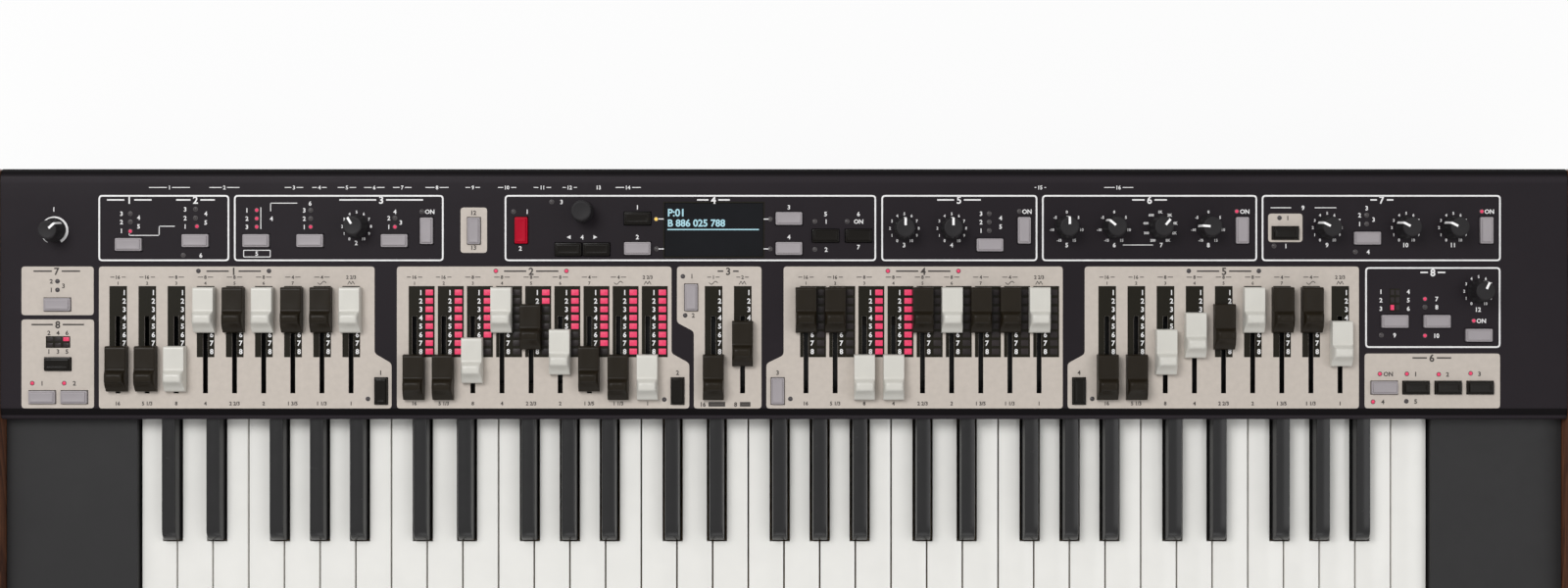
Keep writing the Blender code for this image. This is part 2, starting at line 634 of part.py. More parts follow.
def base_tray(finish):
    front = FRONT + RAIL_THICKNESS + GAP
    outline = [
        (front, FOOT_HEIGHT), (WALL_OUTSIDE, FOOT_HEIGHT), (WALL_OUTSIDE, SHEET_UNDER - GAP),
        (WALL_INSIDE, SHEET_UNDER - GAP), (WALL_INSIDE, FLOOR), (front, FLOOR),
    ]
    start, end = WALL_INSIDE - TRAY_SHEET, WALL_OUTSIDE + TRAY_SHEET
    holes = [wall_round(x, JACK_NOSE + NOSE_GAP, start, end) for x in JACKS]
    holes += [wall_round(x, ROUND_NOSE + NOSE_GAP, start, end) for x in ROUND_SOCKETS]
    holes.append(wall_round(SPEAKER_SOCKET, SPEAKER_NOSE + NOSE_GAP, start, end))
    necks = {SQUARE_SOCKET: SQUARE_NOSE, MAINS_INLET: INLET_NECK, POWER_SWITCH: SWITCH_NECK}
    for across, neck in necks.items():
        holes.append(wall_box(across, [size + NOSE_GAP for size in neck])(start, end))
    piece("base_tray", [prism(outline, "X", -HALF_WIDTH, HALF_WIDTH)], finish, cut=[holes])


def socket_board(finish):
    """Sockets of every kind on one board behind the rear wall, their noses through its holes."""
    inside, outside = WALL_INSIDE - GAP, WALL_OUTSIDE + GAP
    lip = outside + OUTSIDE_DEPTH
    rear = inside - SOCKET_BODY
    board_top = SOCKET_HEIGHT - SOCKET_BOARD_DROP + BOARD_THICKNESS
    left = SPEAKER_SOCKET * MM - SPEAKER_HALF - CORNER_MARGIN
    right = JACKS[-1] * MM + JACK_HALF + CORNER_MARGIN
    board = box((left, rear, board_top - BOARD_THICKNESS), (right, inside, board_top))
    bodies, noses, nuts, bores = [], [], [], []
    kinds = [(x, JACK_HALF, JACK_NOSE, JACK_BORE, JACK_DEPTH) for x in JACKS]
    kinds += [(x, ROUND_HALF, ROUND_NOSE, ROUND_BORE, ROUND_DEPTH) for x in ROUND_SOCKETS]
    kinds.append((SPEAKER_SOCKET, SPEAKER_HALF, SPEAKER_NOSE, SPEAKER_BORE, SPEAKER_DEPTH))
    for across, half, nose, bore, depth in kinds:
        x = across * MM
        low = (x - half, rear + 1 * MM, board_top - BOARD_THICKNESS / 2)
        bodies.append(box(low, (x + half, inside, SOCKET_HEIGHT + half)))
        noses.append(wall_round(across, nose, inside - TRAY_SHEET, lip))
        bores.append(wall_round(across, bore, lip - depth, lip + TRAY_SHEET))
    for across in JACKS:
        nuts.append(wall_round(across, JACK_NUT, outside, lip - GAP, 6))
    body = wall_box(SQUARE_SOCKET, (SQUARE_NOSE[0] + MM, SQUARE_NOSE[1] + MM))(rear + MM, inside)
    left, right = SQUARE_SOCKET * MM - SQUARE_NOSE[0], SQUARE_SOCKET * MM + SQUARE_NOSE[0]
    leg = box((left, rear + 2 * MM, board_top - BOARD_THICKNESS / 2), (right, inside - MM, SOCKET_HEIGHT))
    bodies.append(body)
    noses.append(wall_box(SQUARE_SOCKET, SQUARE_NOSE)(inside - TRAY_SHEET, lip))
    bores.append(wall_box(SQUARE_SOCKET, SQUARE_BORE)(lip - ROUND_DEPTH, lip + TRAY_SHEET))
    piece("socket_board", [board], finish, joined=[bodies, [leg], noses, nuts], cut=[bores])


def mains_inlet(finish):
    inside, outside = WALL_INSIDE - GAP, WALL_OUTSIDE + GAP
    lip = outside + OUTSIDE_DEPTH
    rear = inside - SOCKET_BODY
    flange = wall_box(MAINS_INLET, INLET_FLANGE)(outside, lip)
    neck = wall_box(MAINS_INLET, INLET_NECK)(rear, lip - MM)
    cavity = wall_box(MAINS_INLET, INLET_BORE)(lip - INLET_DEPTH, lip + MM)
    blades = []
    for place in (-1, 0, 1):
        x = MAINS_INLET * MM + place * BLADE_SPACING
        z = SOCKET_HEIGHT + (BLADE_HALF[1] if place == 0 else -BLADE_HALF[1])
        low = (x - BLADE_HALF[0], lip - INLET_DEPTH - MM, z - BLADE_HALF[1])
        blades.append(box(low, (x + BLADE_HALF[0], lip - INLET_DEPTH + BLADE_LENGTH, z + BLADE_HALF[1])))
    thing = piece("mains_inlet", [flange], finish, joined=[[neck]], cut=[[cavity]])
    boolean(thing, blades, "UNION", "blades")


def power_switch(frame_finish, rocker_finish):
    inside, outside = WALL_INSIDE - GAP, WALL_OUTSIDE + GAP
    lip = outside + OUTSIDE_DEPTH
    flange = wall_box(POWER_SWITCH, SWITCH_FLANGE)(outside, lip)
    neck = wall_box(POWER_SWITCH, SWITCH_NECK)(inside - SWITCH_DEPTH, lip - MM)
    cavity = wall_box(POWER_SWITCH, SWITCH_BORE)(lip - SWITCH_DEPTH, lip + MM)
    piece("power_switch_frame", [flange], frame_finish, joined=[[neck]], cut=[[cavity]])
    x, axis = POWER_SWITCH * MM, lip - 5.8 * MM
    outline = []
    for y, z in ((-3, -5), (4, -1), (2.4, 0), (4, 1), (-3, 5)):
        y *= MM
        z = z * ROCKER_HALF[1] if abs(z) == 1 else z * MM
        outline.append((axis + y * cos(ROCKER_TILT) - z * sin(ROCKER_TILT),
                        SOCKET_HEIGHT + y * sin(ROCKER_TILT) + z * cos(ROCKER_TILT)))
    body = prism(outline, "X", x - ROCKER_HALF[0], x + ROCKER_HALF[0])
    piece("power_rocker", [body], rocker_finish, origin=(x, axis, SOCKET_HEIGHT))


def control_board(finish):
    """The board under the panel, with the pots, the drawbars' contact tracks and its posts."""
    low = (-HALF_WIDTH + BOARD_SIDE_GAP, PANEL_FRONT + BOARD_FRONT, BOARD_UNDER)
    board = box(low, (HALF_WIDTH - BOARD_SIDE_GAP, REAR - BOARD_REAR_GAP, BOARD_TOP))
    sunk = BOARD_THICKNESS / 2
    parts = []
    for spot in (*KNOBS.values(), DIAL_SPOT):
        x, y = on_panel(*spot)
        low = (x - POT_HALF, y - POT_HALF, BOARD_TOP - sunk)
        parts.append(box(low, (x + POT_HALF, y + POT_HALF, SHEET_UNDER - POT_BELOW_SHEET)))
    for across, back in POSTS:
        x, y = on_panel(across, back)
        low = (x - POST_HALF, y - POST_HALF, BOARD_TOP - sunk)
        parts.append(box(low, (x + POST_HALF, y + POST_HALF, SHEET_UNDER - GAP)))
    for first, runs in DRAWBAR_SETS.values():
        count = sum(len(run[1]) for run in runs)
        left = first * MM - DRAWBAR_PITCH / 3
        right = first * MM + (count - 1) * DRAWBAR_PITCH + DRAWBAR_PITCH / 3
        low = (left, PANEL_FRONT + TRACK_FRONT, BOARD_TOP - sunk)
        parts.append(box(low, (right, PANEL_FRONT + TRACK_REAR, SHEET_UNDER - TRACK_BELOW_SHEET)))
    piece("control_board", [board], finish, joined=[parts])


def display_module(finish):
    left, front = on_panel(DISPLAY[0], DISPLAY[2])
    right, rear = on_panel(DISPLAY[1], DISPLAY[3])
    bezel, gap = DISPLAY_BEZEL, DISPLAY_GAP
    low = (left - bezel, front - bezel, BOARD_TOP + GAP)
    block = box(low, (right + bezel, rear + bezel, SHEET_UNDER - GAP))
    low = (left + gap, front + gap, SHEET_UNDER - MM)
    glass = box(low, (right - gap, rear - gap, PANEL_TOP - DISPLAY_RECESS))
    piece("display_module", [block], finish, joined=[[glass]])


def main_board(finish):
    x, y = MAIN_BOARD_CENTRE
    width, depth = MAIN_BOARD_SIZE
    z = FLOOR + STANDOFF
    board = box((x - width / 2, y - depth / 2, z), (x + width / 2, y + depth / 2, z + BOARD_THICKNESS))
    posts = []
    for side in (-1, 1):
        for end in (-1, 1):
            px, py = x + side * (width / 2 - CORNER_MARGIN), y + end * (depth / 2 - CORNER_MARGIN)
            low = (px - POST_HALF, py - POST_HALF, FLOOR + GAP)
            posts.append(box(low, (px + POST_HALF, py + POST_HALF, z + BOARD_THICKNESS / 2)))
    chips = []
    top = z + BOARD_THICKNESS + CHIP_HEIGHT
    for across, back, half in CHIPS:
        low = (x + (across - half) * MM, y + (back - half) * MM, z + BOARD_THICKNESS / 2)
        chips.append(box(low, (x + (across + half) * MM, y + (back + half) * MM, top)))
    piece("main_board", [board], finish, joined=[posts + chips])


def power_supply(finish):
    x, y = SUPPLY_CENTRE
    width, depth, height = SUPPLY_SIZE
    low = (x - width / 2, y - depth / 2, FLOOR + STANDOFF / 2)
    case = box(low, (x + width / 2, y + depth / 2, FLOOR + STANDOFF / 2 + height))
    ears = []
    for side in (-1, 1):
        px = x + side * width / 2
        low = (px - EAR_HALF[0], y - EAR_HALF[1], FLOOR + GAP)
        ears.append(box(low, (px + EAR_HALF[0], y + EAR_HALF[1], FLOOR + STANDOFF)))
    piece("power_supply", [case], finish, joined=[ears])


def feet(finish):
    x = HALF_WIDTH - FOOT_INSET
    y = REAR - FOOT_INSET
    for end, place_y in (("front", -y), ("rear", y)):
        for side, place_x in (("left", -x), ("right", x)):
            rings = [
                (FOOT_RADIUS * 0.9, 0), (FOOT_RADIUS, FOOT_HEIGHT / 4), (FOOT_RADIUS, FOOT_HEIGHT - GAP),
            ]
            piece(f"foot_{end}_{side}", [turned(rings, 20, (place_x, place_y, 0))], finish)


def build():
    clear_scene()
    enamel = material("dark_enamel", (0.035, 0.032, 0.036), 0.5)
    steel = material("dark_steel", (0.03, 0.03, 0.032), 0.5, 0.4)
    wood = material("stained_wood", (0.16, 0.06, 0.03), 0.4)
    black = material("black_plastic", (0.02, 0.02, 0.02), 0.4)
    caps = material("drawbar_plastic", (0.1, 0.1, 0.1), 0.4)
    grey = material("grey_buttons", (0.38, 0.36, 0.36), 0.5)
    ivory = material("ivory_keys", (0.85, 0.83, 0.78), 0.25)
    ebony = material("ebony_keys", (0.02, 0.02, 0.02), 0.3)
    board = material("key_bed", (0.25, 0.2, 0.14), 0.7)
    green = material("circuit_board", (0.03, 0.12, 0.06), 0.5)
    zinc = material("zinc_plate", (0.5, 0.5, 0.5), 0.4, 0.8)
    glass = material("display_glass", (0.02, 0.04, 0.05), 0.1)
    rubber = material("rubber", (0.02, 0.02, 0.02), 0.8)

    control_panel(enamel)
    drawbars(caps)
    knobs(black)
    buttons(grey)
    for name, front, top in (("upper", UPPER_FRONT, UPPER_TOP), ("lower", LOWER_FRONT, LOWER_TOP)):
        naturals(f"{name}_naturals", front, top, ivory)
        sharps(f"{name}_sharps", front, top, ebony)
        keybed(f"{name}_keybed", front, top, board)
    surrounds(black)
    cheek("left_cheek", -1, wood)
    cheek("right_cheek", 1, wood)
    base_tray(steel)
    socket_board(black)
    mains_inlet(black)
    power_switch(black, black)
    control_board(green)
    display_module(glass)
    main_board(green)
    power_supply(zinc)
    feet(rubber)


build()
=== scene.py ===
import json

import bmesh
import bpy
import numpy as np
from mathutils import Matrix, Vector

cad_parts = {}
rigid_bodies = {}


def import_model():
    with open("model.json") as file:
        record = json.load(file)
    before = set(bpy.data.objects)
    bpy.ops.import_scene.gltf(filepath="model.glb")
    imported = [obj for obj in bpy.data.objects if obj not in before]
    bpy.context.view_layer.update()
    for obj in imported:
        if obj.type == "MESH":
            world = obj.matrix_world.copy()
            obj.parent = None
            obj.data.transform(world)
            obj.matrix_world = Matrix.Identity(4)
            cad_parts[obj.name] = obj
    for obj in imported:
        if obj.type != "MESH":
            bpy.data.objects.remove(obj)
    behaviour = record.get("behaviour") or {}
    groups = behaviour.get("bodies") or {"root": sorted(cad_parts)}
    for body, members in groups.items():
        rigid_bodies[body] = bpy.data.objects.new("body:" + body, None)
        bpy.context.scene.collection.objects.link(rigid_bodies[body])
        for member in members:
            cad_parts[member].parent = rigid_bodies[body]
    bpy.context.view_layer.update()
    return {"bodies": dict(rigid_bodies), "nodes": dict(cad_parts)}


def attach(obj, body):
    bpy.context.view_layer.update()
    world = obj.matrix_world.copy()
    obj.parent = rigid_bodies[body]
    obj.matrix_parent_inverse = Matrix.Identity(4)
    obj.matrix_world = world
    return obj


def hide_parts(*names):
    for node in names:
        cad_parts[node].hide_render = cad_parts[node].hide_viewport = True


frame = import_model()

# The organ's own places, in metres: +X to the player's right, +Y away from the player
mm = 0.001
unit = 0.6375 * mm       # the panel is laid out on a grid 1600 units wide, with rows 172 to 428
panelTop = 158 * mm
panelFront = 36.3 * mm
rearFace = 199.5 * mm
wallFace = 197.5         # in mm: the rear wall that the sockets' flanges and the screws stand on
halfWidth = 509.7 * mm
pi = np.pi


def gridToPanel(points):
    points = np.asarray(points, float)
    return np.stack([(points[..., 0] - 800) * unit, panelFront + (428 - points[..., 1]) * unit], -1)


def onPanel(across, down, height=0.0):
    # a place on the panel from grid units
    return np.append(gridToPanel((across, down)), panelTop + height)


def fromFront(across, back, height=0.0):
    # a place on the panel from millimetres across and back from its front edge
    return np.array([across * mm, panelFront + back * mm, panelTop + height])


# Shader building

class Wire:
    # one value inside a material; sums, products and powers of it add Math nodes
    def __init__(self, finish, socket):
        self.finish, self.socket = finish, socket

    def math(self, operation, *others):
        return self.finish.add("Math", {"operation": operation}, dict(enumerate((self, *others))))

    def __add__(self, other):
        return self.math("ADD", other)

    def __mul__(self, other):
        return self.math("MULTIPLY", other)

    def __pow__(self, other):
        return self.math("POWER", other)

    __radd__, __rmul__ = __add__, __mul__


class Nodes:
    # a tree of shader nodes and the shader that it ends in
    def __init__(self, tree, shader):
        self.tree, self.shader = tree, tree.nodes[shader]

    def feed(self, socket, value, node=None):
        target = (node or self.shader).inputs[socket]
        if isinstance(value, Wire):
            self.tree.links.new(value.socket, target)
        else:
            target.default_value = value

    def add(self, kind, settings=None, sockets=None, output=0):
        node = self.tree.nodes.new("ShaderNode" + kind)
        for key, value in (settings or {}).items():
            if key == "stops":
                while len(node.color_ramp.elements) < len(value):
                    node.color_ramp.elements.new(1)
                for element, (place, color) in zip(node.color_ramp.elements, value):
                    element.position, element.color = place, (*color, 1)
            else:
                setattr(node, key, value)
        for key, value in (sockets or {}).items():
            self.feed(key, value, node)
        return Wire(self, node.outputs[output])

    def seen(self):
        # 1 where the camera, a gloss or a clear piece looks at it, 0 where it lights the object
        camera, gloss, clear = (self.add("LightPath", output=f"Is {ray} Ray")
                                for ray in ("Camera", "Glossy", "Transmission"))
        return camera.math("MAXIMUM", gloss.math("MAXIMUM", clear))


class Finish(Nodes):
    # a material: plain numbers go on the shader's own sockets, patterns are linked to them
    def __init__(self, name, color, roughness, slot=None, shine=0.5, **plain):
        self.material = bpy.data.materials.new(name)
        self.material.use_nodes = True
        super().__init__(self.material.node_tree, "Principled BSDF")
        self.slot, self.color = slot, color
        plain.update(Base_Color=(*color, 1), Roughness=roughness, Specular_IOR_Level=shine)
        for socket, value in plain.items():
            self.feed(socket.replace("_", " "), value)

    def place(self, stretch=(1, 1, 1)):
        where = self.add("TexCoord", output="Object")
        return self.add("Mapping", None, {"Vector": where, "Scale": stretch})

    def noise(self, scale, detail=3, stretch=(1, 1, 1), rough=0.5, bend=0.0):
        return self.add("TexNoise", None, {"Vector": self.place(stretch), "Scale": scale, "Detail": detail,
                                           "Roughness": rough, "Distortion": bend})

    def ramp(self, factor, stops):
        return self.add("ValToRGB", {"stops": stops}, {"Fac": factor})

    def mix(self, factor, first, second, way="MIX"):
        sockets = {0: factor, 6: first, 7: second}
        return self.add("Mix", {"data_type": "RGBA", "blend_type": way}, sockets, output=2)

    def bump(self, height, strength, distance, **under):
        return self.add("Bump", None, {"Height": height, "Strength": strength, "Distance": distance, **under})

    def spread(self, amount, scale, detail=2):
        # the colour goes a little darker and lighter in soft clouds
        dark = [c * (1 - amount) for c in self.color]
        light = [min(1.0, c * (1 + amount)) for c in self.color]
        self.feed("Base Color", self.ramp(self.noise(scale, detail), [(0.3, dark), (0.7, light)]))

    def skin(self, patches, grain, brush=(1, 1, 1)):
        # gloss patches: scale, detail, amount, least roughness; grain: scale, detail, strength, depth
        scale, detail, amount, least = patches
        self.feed("Roughness", self.noise(scale, detail, brush) * amount + least)
        scale, detail, strength, depth = grain
        self.feed("Normal", self.bump(self.noise(scale, detail, brush), strength, depth))
        return self


def moulded(name, color, roughness, slot, shine=0.5, cloud=0.06, grain=0.25):
    # moulded plastic: soft clouds in the colour, uneven gloss and a fine spark-eroded grain
    finish = Finish(name, color, roughness, slot, shine)
    finish.spread(cloud, 45)
    return finish.skin((160, 4, 0.16, roughness - 0.08), (2200, 2, grain, 0.00006))


def ink(name, color, roughness, shine, speckle=0.05):
    # screen ink: nearly even, with the faint mesh and speckle of printing
    finish = Finish(name, color, roughness, "panel_enamel", shine)
    finish.spread(speckle, 260, 4)
    return finish.skin((600, 3, 0.14, roughness - 0.07), (3500, 2, 0.15, 0.00003))


def glowing(name, color, strength, slot):
    # a lamp lens that is lit: brighter in its middle clouds
    finish = Finish(name, [0.12 * c for c in color], 0.3, slot, 0.25, Emission_Strength=strength)
    light = [min(1.0, c * 1.25 + 0.02) for c in color]
    finish.feed("Emission Color", finish.ramp(finish.noise(900, 2), [(0.3, color), (0.8, light)]))
    return finish


def makeMetal(name, color, roughness, slot, brush=(60, 1, 1)):
    # plated metal: fine lines of the tool in one direction and dull patches
    finish = Finish(name, color, roughness, slot, Metallic=1.0)
    finish.spread(0.08, 60, 3)
    return finish.skin((40, 5, 0.25, roughness - 0.1), (300, 3, 0.12, 0.00005), brush)


def makeEnamel(name, dark, shine, paintedSheen, sheenBands):
    # baked enamel: clouds in the colour, thin wear, and orange peel under a fine grain; the bands say how
    # much painted sheen it takes at a distance back from the organ's middle: a lighter colour painted on as a
    # highlight where the sheet is folded
    finish = Finish(name, [1.1 * c for c in dark], 0.46, "panel_enamel", shine)
    cloud = finish.ramp(finish.noise(5.5, 2), [(0.30, dark), (0.72, [1.3 * c for c in dark])])
    wear = finish.noise(38, 6, rough=0.7) ** 6 * 1.6
    worn = finish.mix(wear, cloud, (*(2.2 * c for c in dark), 1))
    back = finish.add("SeparateXYZ", None, {0: finish.place()}, output=1)
    reach = 5            # the ramp's 0 to 1 covers a fifth of a metre
    # painted highlight: in the bands the base colour goes towards the lighter sheen colour
    band = finish.ramp(back * reach, [(reach * place, (much, much, much)) for place, much in sheenBands])
    finish.feed("Base Color", finish.mix(band, worn, (*paintedSheen, 1)))
    finish.feed("Roughness", finish.noise(24, 5) * 0.10 + finish.noise(700, 2) * 0.10 + 0.36)
    peel = finish.bump(finish.noise(420, 2), 0.16, 0.00012)
    finish.feed("Normal", finish.bump(finish.noise(2600, 2), 0.22, 0.00004, Normal=peel))
    return finish


def makeWood():
    # stained hardwood: long rings of darker and lighter grain, pores along it, satin varnish over it
    finish = Finish("stainedWood", (0.12, 0.042, 0.02), 0.38, "cheek_wood", Coat_Roughness=0.18)
    rings = finish.noise(3.2, 4, stretch=(9, 0.9, 7), rough=0.55, bend=1.4)
    stains = [(0.0, (0.055, 0.018, 0.009)), (0.45, (0.150, 0.055, 0.024)), (0.85, (0.215, 0.085, 0.038)),
              (1.0, (0.075, 0.026, 0.012))]
    tone = finish.ramp((rings * 9.0).math("FRACT"), stains)
    pores = finish.noise(90, 5, stretch=(5, 0.18, 5), rough=0.7)
    dark = finish.ramp(pores, [(0.30, (0.025, 0.009, 0.005)), (0.46, (1, 1, 1))])
    finish.feed("Base Color", finish.mix(0.75, tone, dark, "MULTIPLY"))
    finish.feed("Roughness", finish.noise(30, 4) * 0.2 + 0.28)
    finish.feed("Coat Weight", finish.noise(6, 2) * 0.3 + 0.35)
    finish.feed("Normal", finish.bump(pores, 0.25, 0.0003))
    return finish


def makeBoard(name, mask, track):
    # circuit board: solder mask, with copper tracks showing through it as lighter lines
    finish = Finish(name, mask, 0.35, "circuit_board", 0.3)
    across, along = (finish.add("SeparateXYZ", None, {0: finish.place()}, output=axis) for axis in (0, 1))
    lines = (across * 260 + finish.noise(14, 1) * 3).math("FRACT").math("GREATER_THAN", 0.72)
    lanes = (along * 190 + finish.noise(11, 1) * 3).math("FRACT").math("GREATER_THAN", 0.5)
    finish.feed("Base Color", finish.mix(lines * lanes * 0.8, (*mask, 1), (*track, 1)))
    finish.feed("Roughness", finish.noise(90, 3) * 0.2 + 0.28)
    finish.feed("Normal", finish.bump(lines * lanes, 0.3, 0.0002))
    return finish


def makeChipboard():
    # pressed board under the keys: chips of several browns
    finish = Finish("keybedBoard", (0.26, 0.18, 0.11), 0.75, "keybed_board")
    chips = finish.add("TexVoronoi", None, {"Vector": finish.place((1, 0.5, 1)), "Scale": 260})
    finish.feed("Base Color", finish.ramp(chips, [(0.05, (0.17, 0.11, 0.06)), (0.6, (0.34, 0.25, 0.16))]))
    finish.feed("Normal", finish.bump(chips, 0.3, 0.0003))
    return finish


# painted highlights: the main enamel is lighter on the front edge of the lip and in a band on its rear fold
enamelAndSheen = makeEnamel("panelEnamelAndSheen", (0.0104, 0.0078, 0.0100), 0.10, (0.0190, 0.0150, 0.0185),
                    [(0.0390, 1), (0.0392, 0), (0.1898, 0), (0.1914, 0.8), (0.1930, 0.8), (0.1944, 0.2)])
# painted shade: a darker enamel on a strip of the front slope and on the rear fold's outer band; near that
# band's inner side a painted highlight lightens it, so it darkens towards the rear edge
shadedEdgeEnamel = makeEnamel("shadedEdgeEnamel", (0.0034, 0.0027, 0.0032), 0.05, (0.0165, 0.0135, 0.0160),
                        [(0.1500, 0), (0.1940, 1), (0.1963, 0)])
steel = Finish("caseSteel", (0.017, 0.017, 0.018), 0.5, "case_steel", 0.25)
steel.spread(0.14, 9, 4)
steel.skin((60, 5, 0.22, 0.40), (1100, 3, 0.45, 0.0001))
rubber = Finish("footRubber", (0.018, 0.018, 0.019), 0.82, "foot_rubber", 0.25)
rubber.spread(0.2, 120, 5)
rubber.skin((200, 4, 0.2, 0.7), (1500, 3, 0.5, 0.0001))
wood = makeWood()
circuit = makeBoard("greenBoard", (0.014, 0.075, 0.035), (0.05, 0.22, 0.10))
blackBoard = makeBoard("blackBoard", (0.006, 0.0058, 0.0056), (0.014, 0.013, 0.012))
chipboard = makeChipboard()
creamInk = ink("creamInk", (0.518, 0.463, 0.412), 0.52, 0.3, 0.035)
whiteInk = ink("whiteInk", (0.78, 0.77, 0.77), 0.5, 0.3)
darkInk = ink("darkInk", (0.055, 0.048, 0.044), 0.5, 0.2)
windowInk = ink("windowBlackInk", (0.0105, 0.0088, 0.0050), 0.34, 0.10)
blackCap = moulded("blackCapPlastic", (0.0132, 0.0096, 0.0054), 0.34, "drawbar_plastic", 0.12)
whiteCap = moulded("whiteCapPlastic", (0.605, 0.590, 0.540), 0.34, "drawbar_plastic", cloud=0.03)
knobBlack = moulded("knobBlackPlastic", (0.0120, 0.0108, 0.0118), 0.5, "knob_plastic", 0.18)
pointerWhite = moulded("pointerWhitePlastic", (0.90, 0.89, 0.89), 0.4, "knob_plastic", cloud=0.03)
greyButton = moulded("greyButtonPlastic", (0.318, 0.292, 0.305), 0.46, "button_plastic", 0.3, 0.05)
blackButton = moulded("blackButtonPlastic", (0.0066, 0.0052, 0.0038), 0.20, "button_plastic", 0.12)
redButton = moulded("redButtonPlastic", (0.420, 0.0030, 0.0200), 0.4, "button_plastic", 0.08, 0.08)
markWhite = moulded("markWhite", (0.76, 0.76, 0.75), 0.45, "black_plastic", cloud=0.03)
blackPlastic = moulded("blackPlastic", (0.0145, 0.0140, 0.0145), 0.48, "black_plastic", 0.25, grain=0.4)
ivory = moulded("ivoryKeyPlastic", (0.80, 0.79, 0.755), 0.20, "ivory_keys", cloud=0.02, grain=0.05)
ebony = moulded("blackKeyPlastic", (0.0100, 0.0096, 0.0100), 0.24, "black_keys", 0.3, grain=0.12)
darkLens = moulded("darkLens", (0.052, 0.044, 0.046), 0.22, "panel_enamel", 0.3, 0.2)
darkCell = moulded("darkCell", (0.022, 0.017, 0.017), 0.3, "panel_enamel", 0.15, 0.2)
lampRing = moulded("lampRing", (0.05, 0.045, 0.045), 0.4, "panel_enamel", cloud=0.1)
displayGlass = moulded("displayGlass", (0.0042, 0.0046, 0.0062), 0.14, "display_glass", 0.14, 0.15, 0.02)
redGlow = glowing("litRedLens", (0.76, 0.040, 0.125), 0.84, "panel_enamel")
amberGlow = glowing("litAmberLens", (1.0, 0.56, 0.10), 1.0, "panel_enamel")
cyanGlow = glowing("litDisplay", (0.36, 0.60, 0.68), 0.9, "display_glass")
nickel = makeMetal("nickelNut", (0.62, 0.60, 0.56), 0.3, "black_plastic", (40, 40, 2))
brass = makeMetal("brassContact", (0.72, 0.53, 0.26), 0.35, "black_plastic")
zinc = makeMetal("zincCase", (0.52, 0.53, 0.54), 0.38, "zinc_case")
screwSteel = makeMetal("blackenedScrew", (0.10, 0.10, 0.11), 0.36, "case_steel", (30, 30, 1))
print("finishes made")


# Mesh building: a shape is (points, [(faces, number of its finish), ...])

def surface(grid, around=False, finish=0):
    # quads between neighbours of a grid of points, closed around its columns if asked
    rows, columns = grid.shape[:2]
    index = np.arange(rows * columns).reshape(rows, columns)
    if around:
        index = np.hstack([index, index[:, :1]])
    quads = np.stack([index[:-1, :-1], index[1:, :-1], index[1:, 1:], index[:-1, 1:]], -1).reshape(-1, 4)
    return grid.reshape(-1, 3), [(quads, finish)]


def loft(rings, finish=0):
    # outlines carried along a path: each row is one closed outline, and the ends are capped
    rings = np.asarray(rings)
    points, faces = surface(rings, True, finish)
    rows, columns = rings.shape[:2]
    caps = np.stack([np.arange(columns), np.arange(columns)[::-1] + (rows - 1) * columns])
    return points, faces + [(caps, finish)]


def slab(outline, low, high, finish=0):
    # a flat outline carried straight up
    return loft([np.insert(outline, 2, z, 1) for z in (low, high)], finish)


def block(low, high, finish=0):
    (left, near, bottom), (right, far, top) = low, high
    return slab(np.array([(left, near), (right, near), (right, far), (left, far)]), bottom, top, finish)


def lathe(profile, sides, axis="z", finish=0, flutes=0, depth=0.0, between=(0, 0), hollow=False):
    # (radius, height) pairs in mm carried round an axis; flutes press the radius in by
    # depth * (1 + cos) / 2, and a hollow ring's profile comes back to where it started
    radius, along = np.array(profile, float).T
    angle = np.linspace(0, 2 * pi, sides, endpoint=False)
    pressed = np.where((along > between[0]) & (along < between[1]), depth, 0)[:, None]
    r = radius[:, None] - pressed * (1 + np.cos(flutes * angle)) / 2
    rings = np.stack([r * np.cos(angle), r * np.sin(angle), along[:, None] + 0 * r], -1) * mm
    rings = rings[..., [0, 2, 1]] if axis == "y" else rings
    return surface(np.concatenate([rings, rings[:1]]), True, finish) if hollow else loft(rings, finish)


def roundRect(halfX, halfY, corner, steps=3):
    # four quarter turns about the corners' middles
    turn = np.arange(4)[:, None] * pi / 2 + np.linspace(0, pi / 2, steps)
    x = np.array([1, -1, -1, 1])[:, None] * (halfX - corner) + corner * np.cos(turn)
    y = np.array([1, 1, -1, -1])[:, None] * (halfY - corner) + corner * np.sin(turn)
    return np.stack([x, y], -1).reshape(-1, 2)


def stacked(half, corner, profile, finish=0):
    # rounded rectangles stacked up, each one inset from the first one by its own amount
    rings = []
    for inset, z in profile:
        outline = roundRect(half[0] - inset, half[1] - inset, max(corner - inset, corner * 0.15))
        rings.append(np.insert(outline, 2, z, 1))
    return loft(rings, finish)


def pillow(half, corner, low, high, edge, finish=0):
    # near the top the outlines shrink by edge * (1 - cos) and rise by edge * sin
    turn = np.linspace(0, pi / 2, 4)
    profile = zip(edge * (1 - np.cos(turn)), high - edge + edge * np.sin(turn))
    return stacked(half, corner, [(0, low), *profile], finish)


def moved(shape, place):
    return shape[0] + np.asarray(place, float), shape[1]


def turned(shape, angle):
    # clockwise about the vertical, seen from above
    c, s = np.cos(angle), np.sin(angle)
    x, y, z = shape[0].T
    return np.column_stack([x * c + y * s, -x * s + y * c, z]), shape[1]


def repeated(shape, places):
    # the same shape at every place, as one array
    points, faces = shape
    places = np.asarray(places, float).reshape(-1, 3)
    step = np.arange(len(places))[:, None, None] * len(points)
    every = (points[None] + places[:, None]).reshape(-1, 3)
    return every, [((group[None] + step).reshape(-1, group.shape[1]), finish) for group, finish in faces]


def joined(shapes):
    points, faces, start = [], [], 0
    for these, groups in shapes:
        points.append(these)
        faces += [(group + start, finish) for group, finish in groups]
        start += len(these)
    return np.concatenate(points), faces


